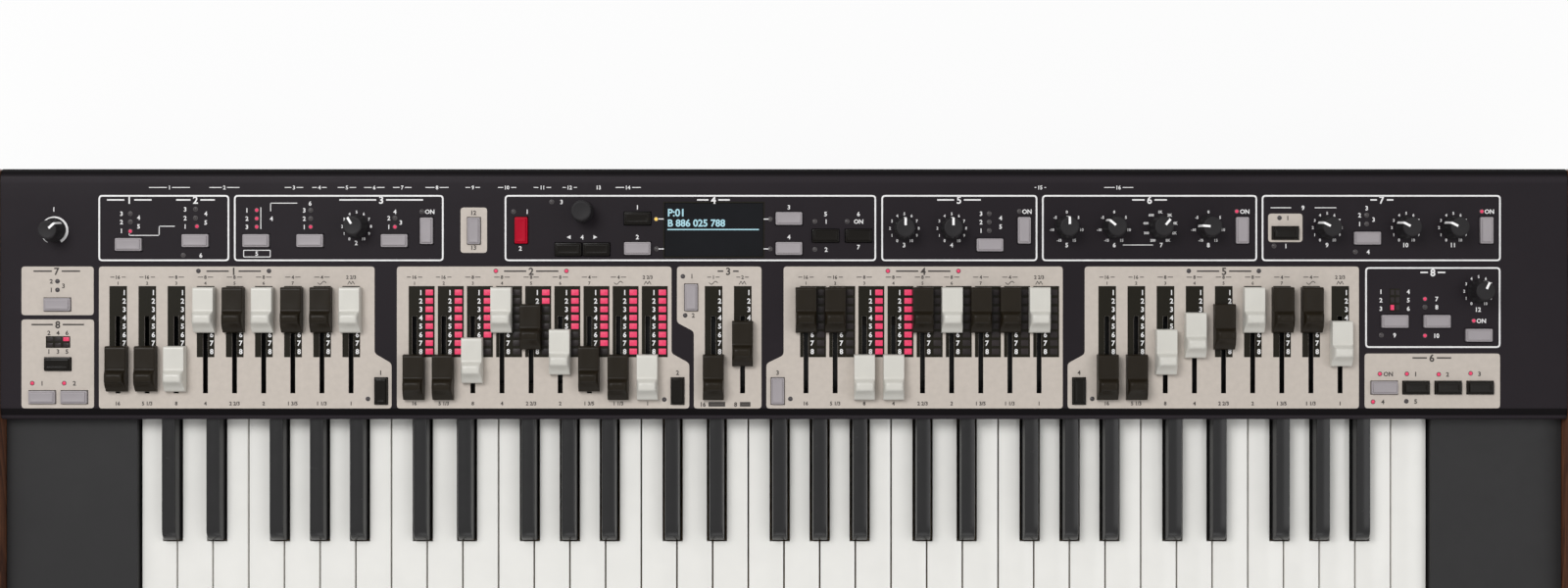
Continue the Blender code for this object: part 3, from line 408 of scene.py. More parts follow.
def rounded(corners, radius, steps=4):
    # each corner becomes (1-t)^2 A + 2t(1-t) V + t^2 B, where A and B lie radius from it on its two sides
    corners = np.asarray(corners, float)
    before, after = np.roll(corners, 1, 0) - corners, np.roll(corners, -1, 0) - corners
    start = corners + before / np.linalg.norm(before, axis=1, keepdims=True) * radius
    end = corners + after / np.linalg.norm(after, axis=1, keepdims=True) * radius
    t = np.linspace(0, 1, steps)[None, :, None]
    curve = (1 - t) ** 2 * start[:, None] + 2 * t * (1 - t) * corners[:, None] + t ** 2 * end[:, None]
    return curve.reshape(-1, 2)


def placeObject(name, data):
    thing = bpy.data.objects.new(name, data)
    bpy.context.scene.collection.objects.link(thing)
    return thing


def curveShape(curve, low, high):
    # a filled curve as triangles, from low to high
    thing = placeObject("cutOut", curve)
    mesh = bpy.data.meshes.new_from_object(thing)
    mesh.calc_loop_triangles()
    points = np.zeros(len(mesh.vertices) * 3)
    mesh.vertices.foreach_get("co", points)
    triangles = np.zeros(len(mesh.loop_triangles) * 3, int)
    mesh.loop_triangles.foreach_get("vertices", triangles)
    bpy.data.objects.remove(thing)
    bpy.data.meshes.remove(mesh)
    bpy.data.curves.remove(curve)
    points = points.reshape(-1, 3)
    points[:, 2] = np.where(points[:, 2] > 0, high, low)
    return points, [(triangles.reshape(-1, 3), 0)]


def flatFill(outlines, height):
    # closed outlines filled, inner ones as holes, and standing up from the panel's top
    curve = bpy.data.curves.new("cutOut", "CURVE")
    curve.dimensions, curve.fill_mode, curve.extrude = "2D", "BOTH", 0.5
    for outline in outlines:
        spline = curve.splines.new("POLY")
        spline.points.add(len(outline) - 1)
        flat = np.column_stack([outline, np.zeros(len(outline)), np.ones(len(outline))])
        spline.points.foreach_set("co", flat.ravel())
        spline.use_cyclic_u = True
    return curveShape(curve, panelTop, panelTop + height)


# the built-in font: height of its figures, how much bolder they are, and the height from which they are finer
lettering = {"tall": 0.72, "bolder": 0.026, "large": 4 * mm}
lines = {}


def figures(text, height, thickness, finish=0):
    # a line of plain figures centred on 0, with the given height of a figure; each is made only once
    smooth = 2 if height < lettering["large"] else 4
    if (text, smooth) not in lines:
        curve = bpy.data.curves.new("figures", "FONT")
        curve.body, curve.size, curve.extrude = text, 1, 0.5
        curve.resolution_u, curve.offset = smooth, lettering["bolder"]
        lines[text, smooth] = curveShape(curve, 0.0, 1.0)
    points, faces = lines[text, smooth]
    middle = [(points[:, 0].max() + points[:, 0].min()) / 2, lettering["tall"] / 2, 0]
    scale = height / lettering["tall"]
    return (points - middle) * [scale, scale, thickness], [(group, finish) for group, _ in faces]


def shaded(mesh, angle):
    # smooth faces that meet at a sharp edge where they turn by more than the angle
    mesh.polygons.foreach_set("use_smooth", np.ones(len(mesh.polygons), bool))
    mesh.set_sharp_from_angle(angle=np.radians(angle))


def settle(name, mesh, node=None, bevel=0.0, thick=0.0):
    # the mesh becomes a piece: it rides on the body of the CAD node that it stands for, or on the housing
    piece = placeObject(name, mesh)
    if thick:
        wall = piece.modifiers.new("wall", "SOLIDIFY")
        wall.thickness, wall.offset = thick, -1
    if bevel:
        edge = piece.modifiers.new("edge", "BEVEL")
        edge.width, edge.segments, edge.limit_method, edge.angle_limit = bevel, 2, "ANGLE", np.radians(35)
        edge.harden_normals = True
    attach(piece, node if node in frame["bodies"] else "housing")
    if node:
        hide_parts(node)


def addPiece(name, shape, finishes, node=None, smooth=35, bevel=0.0, thick=0.0):
    points, faces = shape
    finishes = finishes if isinstance(finishes, list) else [finishes]
    mesh = bpy.data.meshes.new(name)
    corners = np.concatenate([group.ravel() for group, _ in faces])
    counts = np.concatenate([np.full(len(group), group.shape[1]) for group, _ in faces])
    numbers = np.concatenate([np.full(len(group), finish) for group, finish in faces])
    mesh.vertices.add(len(points))
    mesh.vertices.foreach_set("co", points.astype(np.float32).ravel())
    mesh.loops.add(len(corners))
    mesh.loops.foreach_set("vertex_index", corners.astype(np.int32))
    mesh.polygons.add(len(counts))
    mesh.polygons.foreach_set("loop_start", (np.cumsum(counts) - counts).astype(np.int32))
    mesh.polygons.foreach_set("material_index", numbers.astype(np.int32))
    mesh.update(calc_edges=True)
    mesh.validate()
    for finish in finishes:
        mesh.materials.append(finish.material)
    work = bmesh.new()
    work.from_mesh(mesh)
    bmesh.ops.remove_doubles(work, verts=work.verts, dist=2e-7)
    if not thick:
        bmesh.ops.recalc_face_normals(work, faces=work.faces)
    work.to_mesh(mesh)
    work.free()
    shaded(mesh, smooth)
    if thick:
        # the sheet's open edges stay sharp where the wall meets them
        sharp, side = np.zeros(len(mesh.edges), bool), np.zeros(len(mesh.loops), np.int32)
        mesh.edges.foreach_get("use_edge_sharp", sharp)
        mesh.loops.foreach_get("edge_index", side)
        mesh.edges.foreach_set("use_edge_sharp", sharp | (np.bincount(side, minlength=len(sharp)) == 1))
    settle(name, mesh, node, bevel, thick)


def refined(node, finish, bevel):
    # a copy of a CAD node with its triangles merged into flat faces and its edges eased
    mesh = frame["nodes"][node].data.copy()
    work = bmesh.new()
    work.from_mesh(mesh)
    bmesh.ops.remove_doubles(work, verts=work.verts, dist=1e-6)
    bmesh.ops.dissolve_limit(work, angle_limit=0.01, verts=work.verts, edges=work.edges)
    work.to_mesh(mesh)
    work.free()
    mesh.materials.clear()
    mesh.materials.append(finish.material)
    shaded(mesh, 30)
    settle(node + "_shaped", mesh, node, bevel)


def dress(finish, *nodes):
    # a CAD node that stays gets its finish
    for node in nodes:
        frame["nodes"][node].data.materials.clear()
        frame["nodes"][node].data.materials.append(finish.material)


# Drawbars

drawbar = {
    "colours": "BBWWBWBBW", "step": 5.46 * mm, "pitch": 18.95 * mm, "slotFront": 17.5 * mm,
    "overhang": 5.4 * mm, "length": 30.3 * mm, "stem": (1.25 * mm, 5.6 * mm), "stemTop": 0.9 * mm,
    "barDown": (4.8 * mm, 7.7 * mm), "barReach": 3 * mm, "barHeight": 2.4 * mm,
    "halfWidth": 6.85 * mm, "low": 0.8 * mm, "draft": 0.3 / 13, "shoulder": 8 * mm, "grow": 5 * mm,
    "edge": (0.45 * mm, 0.45 * mm), "crown": (2.2 * mm, 4.75 * mm), "tallest": 0.6,
    "dished": (0.55, 0.85),
    # forward from the rear end, height of the top and dish of the top, in mm
    "stations": [(0.0, 1.3, 0), (0.03, 4.2, 0), (0.12, 6.0, 0), (0.35, 7.1, 0), (0.75, 7.7, 0),
                 (1.3, 7.95, 0.02), (2.2, 8.0, 0.08), (7.6, 8.0, 0.25), (13.0, 8.0, 0.08),
                 (14.2, 8.0, 0.03), (14.9, 7.95, 0), (15.4, 8.05, 0), (15.8, 8.35, 0), (16.2, 8.95, 0),
                 (16.7, 10.0, 0), (17.2, 11.1, 0), (17.7, 12.0, 0), (18.2, 12.6, 0.02),
                 (18.8, 12.95, 0.08), (19.6, 13.08, 0.25), (20.6, 13.1, 0.35), (21.6, 13.0, 0.25),
                 (22.4, 12.8, 0.1), (23.0, 12.35, 0.02), (23.5, 11.7, 0), (24.2, 10.5, 0),
                 (25.2, 8.9, 0), (26.4, 7.3, 0), (27.8, 5.85, 0), (28.8, 5.0, 0), (29.3, 4.4, 0),
                 (29.6, 3.4, 0), (29.7, 1.3, 0)],
}
# first slot's place across in mm, and runs of joined bars: numbers, position, level of their bar
drawbarSets = {
    "upper_a": (-433.2, {"low": ((1, 2, 3), 7, 0), "high": ((4, 5, 6, 7, 8, 9), 0, 0)}),
    "upper_b": (-240.3, {"outer": ((1, 2, 8, 9), 8, 1), "3": ((3,), 6, 0), "4": ((4,), 0, 0),
                         "5": ((5,), 2, 0), "6": ((6,), 5, 0), "7": ((7,), 7, 0)}),
    "pedal": (-45.9, {"1": ((1,), 8, 0), "2": ((2,), 4, 0)}),
    "lower_a": (14.3, {"middle": ((3, 4), 8, 0), "outer": ((1, 2, 5, 6, 7, 8, 9), 0, 1)}),
    "lower_b": (210.1, {"low": ((1, 2), 8, 0), "3": ((3,), 5, 0), "4": ((4,), 3, 0), "5": ((5,), 2, 0),
                        "high": ((6, 7, 8), 0, 0), "9": ((9,), 4, 0)}),
}


def slotPlaces(setName):
    # places across of a set's slots
    first, runs = drawbarSets[setName]
    return first * mm + np.arange(sum(len(run[0]) for run in runs.values())) * drawbar["pitch"]


def capShape(finish):
    # outlines up one side, round a quarter ellipse, over the top and down the other side, carried from the
    # rear end to the front; above the shoulder the ellipse grows from the body's edge to the crown's
    forward, height, dish = np.array(drawbar["stations"]).T[:, :, None] * mm
    low = drawbar["low"]
    raised = np.clip((height - drawbar["shoulder"]) / drawbar["grow"], 0, 1)
    wide, tall = (small + (large - small) * raised for small, large in zip(drawbar["edge"], drawbar["crown"]))
    tall = np.minimum(tall, (height - low) * drawbar["tallest"])
    inward, share = drawbar["dished"]
    side = drawbar["halfWidth"] - drawbar["draft"] * (height - low)
    turn = np.linspace(0, pi / 2, 5)
    flat, none = side - wide, 0 * side
    x = np.hstack([drawbar["halfWidth"] + none, flat + wide * np.cos(turn), inward * flat, none])
    z = np.hstack([low + none, height - tall + tall * np.sin(turn), height - share * dish, height - dish])
    x, z = np.hstack([-x, x[:, -2::-1]]), np.hstack([z, z[:, -2::-1]])
    return loft(np.stack([x, np.broadcast_to(-forward, x.shape), z], -1), finish)


def buildDrawbars():
    caps = {"B": capShape(0), "W": capShape(1)}
    half, length = drawbar["stem"]
    reach, height = drawbar["barReach"], drawbar["barHeight"]
    for setName, (_, runs) in drawbarSets.items():
        for runName, (numbers, position, level) in runs.items():
            front = panelFront + drawbar["slotFront"] + (8 - position) * drawbar["step"]
            capRear = front - drawbar["overhang"] + drawbar["length"]
            rear, top = front + length, panelTop - drawbar["barDown"][level]
            places = slotPlaces(setName)[np.array(numbers) - 1]
            shapes = [block((places[0] - reach, front, top - height), (places[-1] + reach, rear, top))]
            for number, x in zip(numbers, places):
                colour = "B" if setName == "pedal" else drawbar["colours"][number - 1]
                stem = block((x - half, front, top), (x + half, rear, panelTop + drawbar["stemTop"]))
                shapes += [moved(caps[colour], (x, capRear, panelTop)), stem]
            node = f"drawbars_{setName}_{runName}"
            addPiece(node + "_caps", joined(shapes), [blackCap, whiteCap], node, 40)


buildDrawbars()
print("drawbars built")


# Knobs

knob = {"rise": 15.9, "skirt": 7.6, "body": 7.15, "top": 6.2, "flutes": 22, "fluteDepth": 0.16,
        "sides": 66, "pointerHalf": 0.75, "proud": 0.09, "sunk": 0.5}
dial = {**knob, "rise": 16.0, "skirt": 7.1, "body": 6.9, "top": 6.6, "flutes": 1, "fluteDepth": 0,
        "place": (-130.7, 135.2)}
tens = [str(n) for n in range(11)]
fifteens = ["-15", "-10", "-5", "0", "5", "10", "15"]
# place in mm, rest angle of the pointer clockwise from the rear, scale round it
knobs = {
    "master_level": (-474.6, 123.0, 48, []), "drive": (-278.0, 125.6, -30, tens),
    "rate": (78.3, 124.4, 0, tens), "mod_amount": (109.1, 124.4, 0, tens),
    "bass": (184.0, 125.1, 0, fifteens), "gain": (214.8, 125.1, -50, fifteens),
    "freq": (244.9, 125.1, 40, ["200", "300", "400", "600", "1K", "2K", "4K", "6K", "8K"]),
    "treble": (276.1, 125.1, -85, fifteens), "tempo": (353.3, 124.8, -64, tens),
    "feedback": (404.7, 124.8, -64, tens), "delay_amount": (435.4, 124.8, -64, tens),
    "reverb_amount": (451.8, 83.5, 24, tens),
}


def knobShape(form):
    # a skirt, a fluted body that draws in a little, and a dished top with a rounded rim
    rise, skirt, body, top = form["rise"], form["skirt"], form["body"], form["top"]
    profile = [(3.0, -10), (3.0, 0.8), (skirt - 0.4, 0.8), (skirt, 1.2), (skirt, 2.1), (skirt - 0.15, 2.45),
               (body, 2.7), (body - 0.05, 3.3), (body - 0.12, 4.2), (top + 0.25, rise - 3.2),
               (top + 0.12, rise - 2.0), (top, rise - 0.9), (top - 0.18, rise - 0.35),
               (top - 0.6, rise - 0.08), (top - 1.0, rise), (top - 1.6, rise - 0.06),
               (top * 0.5, rise - 0.22), (0.02, rise - 0.28)]
    fluted = {"flutes": form["flutes"], "depth": form["fluteDepth"], "between": (3.25, rise - 1.5)}
    return lathe(profile, form["sides"], **fluted)


def pointerShape(finish):
    # a flat strip carried from near the middle of the top, over the rim and down the side
    rise, top, half = knob["rise"], knob["top"], knob["pointerHalf"]
    path = np.array([(1.5, rise - 0.22), (top - 1.0, rise), (top - 0.45, rise - 0.12),
                     (top + 0.02, rise - 0.7), (top + 0.3, rise - 3.2), (knob["body"], 3.0)])
    along = np.gradient(path, axis=0)
    normal = np.column_stack([-along[:, 1], along[:, 0]]) / np.linalg.norm(along, axis=1)[:, None]
    outer, inner = path + normal * knob["proud"], path - normal * knob["sunk"]
    sides = ((-half, outer), (half, outer), (half, inner), (-half, inner))
    return loft(np.stack([np.insert(line, 0, side, 1) for side, line in sides], 1) * mm, finish)


def buildKnobs():
    plain, pointer = knobShape(knob), pointerShape(1)
    for name, (x, back, angle, _) in knobs.items():
        shape = moved(joined([plain, turned(pointer, np.radians(angle))]), fromFront(x, back))
        addPiece(f"knob_{name}_turned", shape, [knobBlack, pointerWhite], f"knob_{name}", 40)
    shape = moved(knobShape(dial), fromFront(*dial["place"]))
    addPiece("program_dial_turned", shape, knobBlack, "program_dial", 40)


buildKnobs()
print("knobs built")


# Buttons

button = {"long": 8.6 * mm, "short": 4.15 * mm, "corner": 0.7 * mm, "hole": 0.4 * mm, "mat": 1.4 * mm,
          "steps": [(0, 1.75), (0.08, 2.0), (0.28, 2.08), (0.86, 2.10), (0.96, 2.5), (1.12, 2.82),
                    (1.45, 2.98), (2.0, 2.86), (3.3, 2.80)]}
# how deep a group's mat lies, (across, back, upright, colour) of its buttons, strips of the mat, in mm
buttonGroups = {
    "left": (8, [(-472.6, 74.8, 0, 0), (-472.3, 36.0, 0, 1), (-482.4, 14.5, 0, 0), (-461.6, 14.5, 0, 0)],
             [(-475, -470, 12, 76), (-484, -460, 12, 17)]),
    "model": (8, [(-426.2, 113.8, 0, 0), (-382.8, 116.3, 0, 0), (-343.3, 116.3, 0, 0),
                  (-308.2, 116.3, 0, 0), (-253.4, 116.3, 0, 0), (-232.4, 122.7, 1, 0),
                  (-201.7, 122.7, 1, 0)],
              [(-430, -199, 113, 116.5)]),
    "program": (8, [(-170.9, 123.0, 1, 2), (-95.3, 130.7, 0, 1), (-95.3, 111.2, 0, 0),
                    (-140.3, 110.6, 0, 1), (-122.0, 110.6, 0, 1), (3.2, 130.7, 0, 0), (3.2, 111.2, 0, 0),
                    (27.0, 119.5, 0, 1), (48.5, 119.5, 0, 1)],
                [(-173, 51, 93, 98), (-173, -169, 93, 120), (-98, -92, 93, 131), (-142, -138, 93, 112),
                 (-124, -120, 93, 112), (0, 6, 93, 131), (25, 29, 93, 120), (46, 51, 93, 120)]),
    "effects": (8, [(133.9, 113.5, 0, 0), (156.2, 123.0, 1, 0), (298.0, 123.0, 1, 0),
                    (326.1, 121.3, 0, 1), (379.3, 117.9, 0, 0), (456.8, 123.0, 1, 0),
                    (397.2, 63.8, 0, 0), (424.6, 63.8, 0, 0), (451.8, 54.8, 0, 0), (390.4, 20.7, 0, 0),
                    (411.1, 20.7, 0, 1), (432.0, 20.7, 0, 1), (452.8, 20.7, 0, 1)],
                [(130, 460, 114, 118), (408, 414, 19, 118), (387, 456, 19, 23), (394, 455, 57, 61.5)]),
    "select": (15.4, [(-262.0, 18.5, 1, 1), (-69.2, 18.5, 1, 1), (-60.4, 79.4, 1, 0), (-4.1, 18.5, 1, 0),
                      (191.9, 18.5, 1, 1)],
               [(-264, 194, 16, 20), (-62.5, -58.5, 16, 80)]),
}


def buildButtons():
    for group, (deep, spots, strips) in buttonGroups.items():
        under = -deep * mm
        shapes = [block(fromFront(left, near, under - button["mat"]), fromFront(right, far, under), 3)
                  for left, right, near, far in strips]
        profile = [(0, under)] + [(inset * mm, z * mm) for inset, z in button["steps"]]
        for x, back, upright, colour in spots:
            half = (button["short"], button["long"]) if upright else (button["long"], button["short"])
            shapes.append(moved(stacked(half, button["corner"], profile, colour), fromFront(x, back)))
        finishes = [greyButton, blackButton, redButton, rubber]
        addPiece(f"buttons_{group}_caps", joined(shapes), finishes, f"buttons_{group}", 32)


buildButtons()
print("buttons built")


# The panel sheet

slotCut = {"half": 1.6 * mm, "near": 17 * mm, "length": 50.28 * mm}
knobHole = 3.6 * mm
displayWindow = np.array([-77.8, -13.4, 105.8, 140.9]) * mm + [0, 0, panelFront, panelFront]


def slotHoles():
    # holes are (left, right, near, far) in metres
    x = np.concatenate([slotPlaces(name) for name in drawbarSets])
    near = np.full(len(x), panelFront + slotCut["near"])
    return np.column_stack([x - slotCut["half"], x + slotCut["half"], near, near + slotCut["length"]])


def holesRound(spots, halfX, halfY):
    x, y = spots[:, 0] * mm, panelFront + spots[:, 1] * mm
    return np.column_stack([x - halfX, x + halfX, y - halfY, y + halfY])


def buttonHoles():
    spots = np.array([spot[:3] for _, group, _ in buttonGroups.values() for spot in group])
    halves = [np.where(spots[:, 2] == upright, button["short"], button["long"]) + button["hole"]
              for upright in (1, 0)]
    return holesRound(spots, *halves)


knobSpots = np.array([spot[:2] for spot in knobs.values()] + [dial["place"]])
fieldHoles = np.vstack([slotHoles(), buttonHoles()])
allHoles = np.vstack([fieldHoles, holesRound(knobSpots, knobHole, knobHole), displayWindow[None]])
# the front lip in mm back from the panel's front and down from its top, and where the darker enamel lies:
# painted shade on the rear fold's outer band and on a strip of the front slope
sheet = {"fold": 6.5 * mm, "flange": 12 * mm, "thick": 1.9 * mm, "rearShade": 4.7 * mm,
         "frontShade": (2.5 * mm, 6.8 * mm),
         "lip": [(7.2, 0), (6.2, -0.12), (2.7, -0.93), (2.0, -1.2), (1.2, -1.6), (0.5, -2.2), (0.1, -3.0),
                 (0, -3.7), (0, -5)]}


def panelSheet():
    # a section from the rear flange over a round fold to the sloping front lip, carried across the
    # panel; where a cell of the grid lies in a hole it is left out
    fold, lip = sheet["fold"], np.array(sheet["lip"]) * mm
    turn = np.linspace(0, pi / 2, 9)
    rearY, rearZ = rearFace - fold + fold * np.cos(turn), panelTop - fold + fold * np.sin(turn)
    rows = np.unique(np.round(allHoles[:, 2:].ravel(), 7))[::-1]
    y = np.concatenate([[rearFace], rearY, rows, panelFront + lip[:, 0]])
    z = np.concatenate([[panelTop - sheet["flange"]], rearZ, 0 * rows + panelTop, panelTop + lip[:, 1]])
    x = np.unique(np.round(np.concatenate([allHoles[:, :2].ravel(), [-halfWidth, halfWidth],
                                           np.linspace(-0.48, 0.48, 13)]), 7))
    points, ((quads, _),) = surface(np.stack(np.broadcast_arrays(x, y[:, None], z[:, None]), -1))
    across, along, _ = points[quads].mean(1).T[..., None]
    left, right, near, far = allHoles.T
    inHole = ((across > left) & (across < right) & (along > near) & (along < far)).any(1)
    back = along[:, 0] - panelFront
    low, high = sheet["frontShade"]
    # the rear fold's outer band and a strip of the front slope take the darker enamel, which is painted shade
    edge = (along[:, 0] > rearFace - sheet["rearShade"]) | ((back > low) & (back < high))
    return points, [(quads[~inHole & ~edge], 0), (quads[~inHole & edge], 1)]


addPiece("panel_sheet", panelSheet(), [enamelAndSheen, shadedEdgeEnamel], "control_panel", 25, thick=sheet["thick"])
print("panel sheet built")


# Printing on the panel, all in grid units: cream fields, windows beside the drawbars, outlines, figures

printing = {"field": 0.10 * mm, "window": 0.17 * mm, "mark": 0.24 * mm, "title": 7.4, "small": 4.5,
            "footage": 3.8, "register": 3.6, "number": 3.2, "socket": 3.9, "digit": 5.2, "corner": 3.2,
            "frame": (1.7, 4.2), "rule": 0.2, "gap": 0.42, "line": 0.6, "pedalWidth": 12, "slotWidth": 15}
# figures round a knob: those of a scale of eleven and others, and short ones and long ones
scale = {"sweep": 150, "eleven": 9.35, "others": 9.9, "short": 2.95, "long": 2.6}
levelArc = {"outer": 9.1 * mm, "narrow": 0.25, "grow": 1.85, "power": 1.3, "steps": 61}
fields = {
    "click": [(22, 272), (95.6, 272), (95.6, 321.6), (22, 321.6)],
    "vibrato": [(22, 326), (96, 326), (96, 416.6), (22, 416.6)],
    "upper_a": [(101, 272), (382.2, 272), (382.2, 360.6), (399.6, 370.8), (399.6, 416.8), (101, 416.8)],
    "upper_b": [(405, 272), (685.2, 272), (685.2, 360.6), (703.4, 370.6), (703.4, 416.8), (405, 416.8)],
    "pedal": [(690.8, 272), (777, 272), (777, 416.8), (708, 416.8), (708, 338.2), (690.8, 329.2)],
    "lower_a": [(799.6, 272), (1084.4, 272), (1084.4, 416.8), (782, 416.8), (782, 371), (799.6, 362.4)],
    "lower_b": [(1106.8, 272), (1386.6, 272), (1386.6, 416.8), (1089.4, 416.8), (1089.4, 370.8),
                (1106.8, 361.4)],
    "percussion": [(1392.4, 360.8), (1530.6, 360.8), (1530.6, 416.6), (1392.4, 416.6)],
    "exit": [(470, 211.8), (497, 211.8), (497, 258), (470, 258)],
    "tap": [(1294, 218), (1329, 218), (1329, 247), (1294, 247)],
}


def inside(polygon, places):
    # counts the polygon's sides that a ray from each place to the right crosses
    a, b = polygon[:, None], np.roll(polygon, -1, 0)[:, None]
    with np.errstate(divide="ignore", invalid="ignore"):
        crossing = a[..., 0] + (places[:, 1] - a[..., 1]) * (b[..., 0] - a[..., 0]) / (b[..., 1] - a[..., 1])
    hit = ((a[..., 1] > places[:, 1]) != (b[..., 1] > places[:, 1])) & (places[:, 0] < crossing)
    return hit.sum(0) % 2 == 1


def buildFields():
    middles = np.column_stack([fieldHoles[:, :2].mean(1), fieldHoles[:, 2:].mean(1)])
    for name, corners in fields.items():
        outline = gridToPanel(rounded(corners, printing["corner"]))
        cuts = [np.array([(left, near), (right, near), (right, far), (left, far)])
                for left, right, near, far in fieldHoles[inside(outline, middles)]]
        addPiece(f"field_{name}", flatFill([outline] + cuts, printing["field"]), creamInk)


# windows: sides from the slot's middle, the slot's notch in them, and where their figures and lights stand
window = {"narrow": (-8.8, 9.2), "wide": (-6, 20.5), "top": 291.9, "bottom": 364.5, "notch": 2.6,
          "notchTop": 322.4, "rows": 298.4 + 8.6 * np.arange(8), "figure": 6.4, "light": 15,
          "lightHalf": (3.8 * unit, 2.9 * unit)}
litRows = {"upper_b": [8, 8, 6, 0, 2, 5, 7, 8, 8], "lower_a": [0, 0, 8, 8, 0, 0, 0, 0, 0]}


def slotUnits(setName):
    return 800 + slotPlaces(setName) / unit


def buildWindows():
    plates, digits, lit, dark = [], [], [], []
    cell = pillow(window["lightHalf"], 0.25 * mm, 0, 0.32 * mm, 0.12 * mm)
    top, bottom, notch, notchTop = (window[key] for key in ("top", "bottom", "notch", "notchTop"))
    for name in drawbarSets:
        for i, slot in enumerate(slotUnits(name)):
            left, right = slot + np.array(window["wide" if name in litRows else "narrow"])
            outline = [(left, top), (left, bottom), (slot - notch, bottom), (slot - notch, notchTop),
                       (slot + notch, notchTop), (slot + notch, bottom), (right, bottom), (right, top)]
            plates.append(flatFill([gridToPanel(outline)], printing["window"]))
            for n, row in enumerate(window["rows"]):
                digits.append(label(str(n + 1), slot + window["figure"], row, printing["digit"]))
                if name in litRows:
                    lights = lit if litRows[name][i] > n else dark
                    lights.append(moved(cell, onPanel(slot + window["light"], row)))
    for name, shapes, finish in (("drawbar_windows", plates, windowInk), ("drawbar_digits", digits, whiteInk),
                                 ("lamp_cells_lit", lit, redGlow), ("lamp_cells_dark", dark, darkCell)):
        addPiece(name, joined(shapes), finish)


def ring(left, top, right, bottom, stroke, radius):
    # a rounded frame: its outer outline and its inner one as a hole
    outlines = []
    for s, corner in ((0, radius), (stroke, max(radius - stroke, 0.6))):
        box = [(left + s, top + s), (right - s, top + s), (right - s, bottom - s), (left + s, bottom - s)]
        outlines.append(gridToPanel(rounded(box, corner, 6)))
    return flatFill(outlines, printing["mark"])


def printed(corners):
    return slab(gridToPanel(corners), panelTop, panelTop + printing["mark"])


def rule(start, end, width):
    # a straight printed line between two places
    a, b = np.array(start, float), np.array(end, float)
    along = (b - a) / np.linalg.norm(b - a) * width / 2
    side = np.array([-along[1], along[0]])
    return printed([a - along - side, b + along - side, b + along + side, a - along + side])


def polyline(places, width):
    return joined([rule(a, b, width) for a, b in zip(places[:-1], places[1:])])


def dart(x, y, size):
    # an arrowhead to the right, or to the left where its size is negative
    return printed([(x - size, y - abs(size)), (x + size, y), (x - size, y + abs(size))])


def label(text, x, y, size):
    return moved(figures(text, size * unit, printing["mark"]), onPanel(x, y))


def titled(text, x, y, width, size):
    # a figure between two rules that fill the width of a title
    end, line = width / 2, size * printing["rule"]
    gap = size * (lettering["tall"] * len(text) / 2 + printing["gap"])
    shapes = [label(text, x, y, size)]
    if end > gap + 1:
        shapes += [rule((x - end, y), (x - gap, y), line), rule((x + gap, y), (x + end, y), line)]
    return joined(shapes)


def wave(x, y, kind):
    return polyline([(x + across, y + down) for across, down in waves[kind]], printing["line"])


frames = [(100.5, 199, 234, 266.5), (238.8, 199, 452.7, 266.5), (515, 199, 894, 266.5),
          (899.3, 199, 1058.5, 266.5), (1063.2, 199, 1282.7, 266.5), (1287.4, 199, 1531.3, 266.5),
          (1393, 272.6, 1531, 355)]
whiteTitles = [("1", 132, 204, 44), ("2", 199.5, 204, 38), ("3", 389, 204, 84), ("4", 728, 204, 32),
               ("5", 978.5, 204, 43), ("6", 1173, 204, 34), ("7", 1410, 204, 22), ("8", 1462, 278, 24)]
darkTitles = [("1", 238.5, 276.7, 54), ("2", 542, 276.7, 54), ("3", 743, 276.7, 20),
              ("4", 942, 276.7, 54), ("5", 1249, 276.7, 54), ("6", 1461, 365.2, 38),
              ("7", 58, 276.7, 46), ("8", 59, 331.2, 52)]
whiteLabels = [("1", 55, 213.5), ("2", 363.5, 247.8), ("3", 922.5, 250), ("4", 971, 250),
               ("5", 1088.5, 250), ("6", 1137, 250), ("7", 1185, 250), ("8", 1233, 250),
               ("9", 1354, 250), ("10", 1434.5, 250), ("11", 1482.5, 250), ("12", 1508.5, 315.8),
               ("3", 124, 218), ("2", 124, 226.5), ("1", 124, 235.5), ("4", 141.5, 222),
               ("5", 141.5, 231), ("3", 189, 213.5), ("2", 189, 222.5), ("1", 189, 231), ("4", 210, 218),
               ("5", 210, 227), ("6", 205, 260.5), ("1", 252, 214.5), ("2", 252, 223), ("3", 252, 231.5),
               ("4", 277, 223), ("5", 262, 258.7), ("3", 310.5, 214.5), ("2", 310.5, 223),
               ("1", 310.5, 231.5), ("6", 316.5, 207.5), ("2", 396.8, 222.5), ("1", 396.8, 231.5),
               ("3", 409, 227), ("4", 403, 216), ("ON", 438.5, 216), ("1", 538, 216), ("2", 531, 253.4),
               ("3", 573, 206), ("4", 594, 242), ("1", 650.4, 211.4), ("2", 650.4, 241.8),
               ("3", 805, 211.4), ("4", 805, 241.8), ("5", 842.5, 218.3), ("6", 876, 218.3),
               ("1", 843, 226), ("ON", 876, 226), ("2", 843, 254.6), ("7", 876, 252), ("3", 1001, 218),
               ("2", 1001, 226.6), ("1", 1001, 235.3), ("4", 1021, 222.4), ("5", 1021, 231.2),
               ("ON", 1047.8, 215.8), ("ON", 1270, 215.8), ("9", 1329.5, 212), ("1", 1312, 251),
               ("3", 1394.5, 212.3), ("2", 1387.3, 219.5), ("1", 1387.3, 228.5), ("3", 1401.5, 224),
               ("4", 1396, 257), ("ON", 1519.6, 215.8), ("1", 1409, 297.6), ("2", 1409, 306.2),
               ("3", 1409, 314.9), ("4", 1437, 297.6), ("5", 1437, 306.2), ("6", 1437, 314.9),
               ("7", 1466, 305), ("8", 1466, 313.4), ("9", 1423, 342), ("10", 1466, 342.5),
               ("ON", 1511.4, 327.4)]
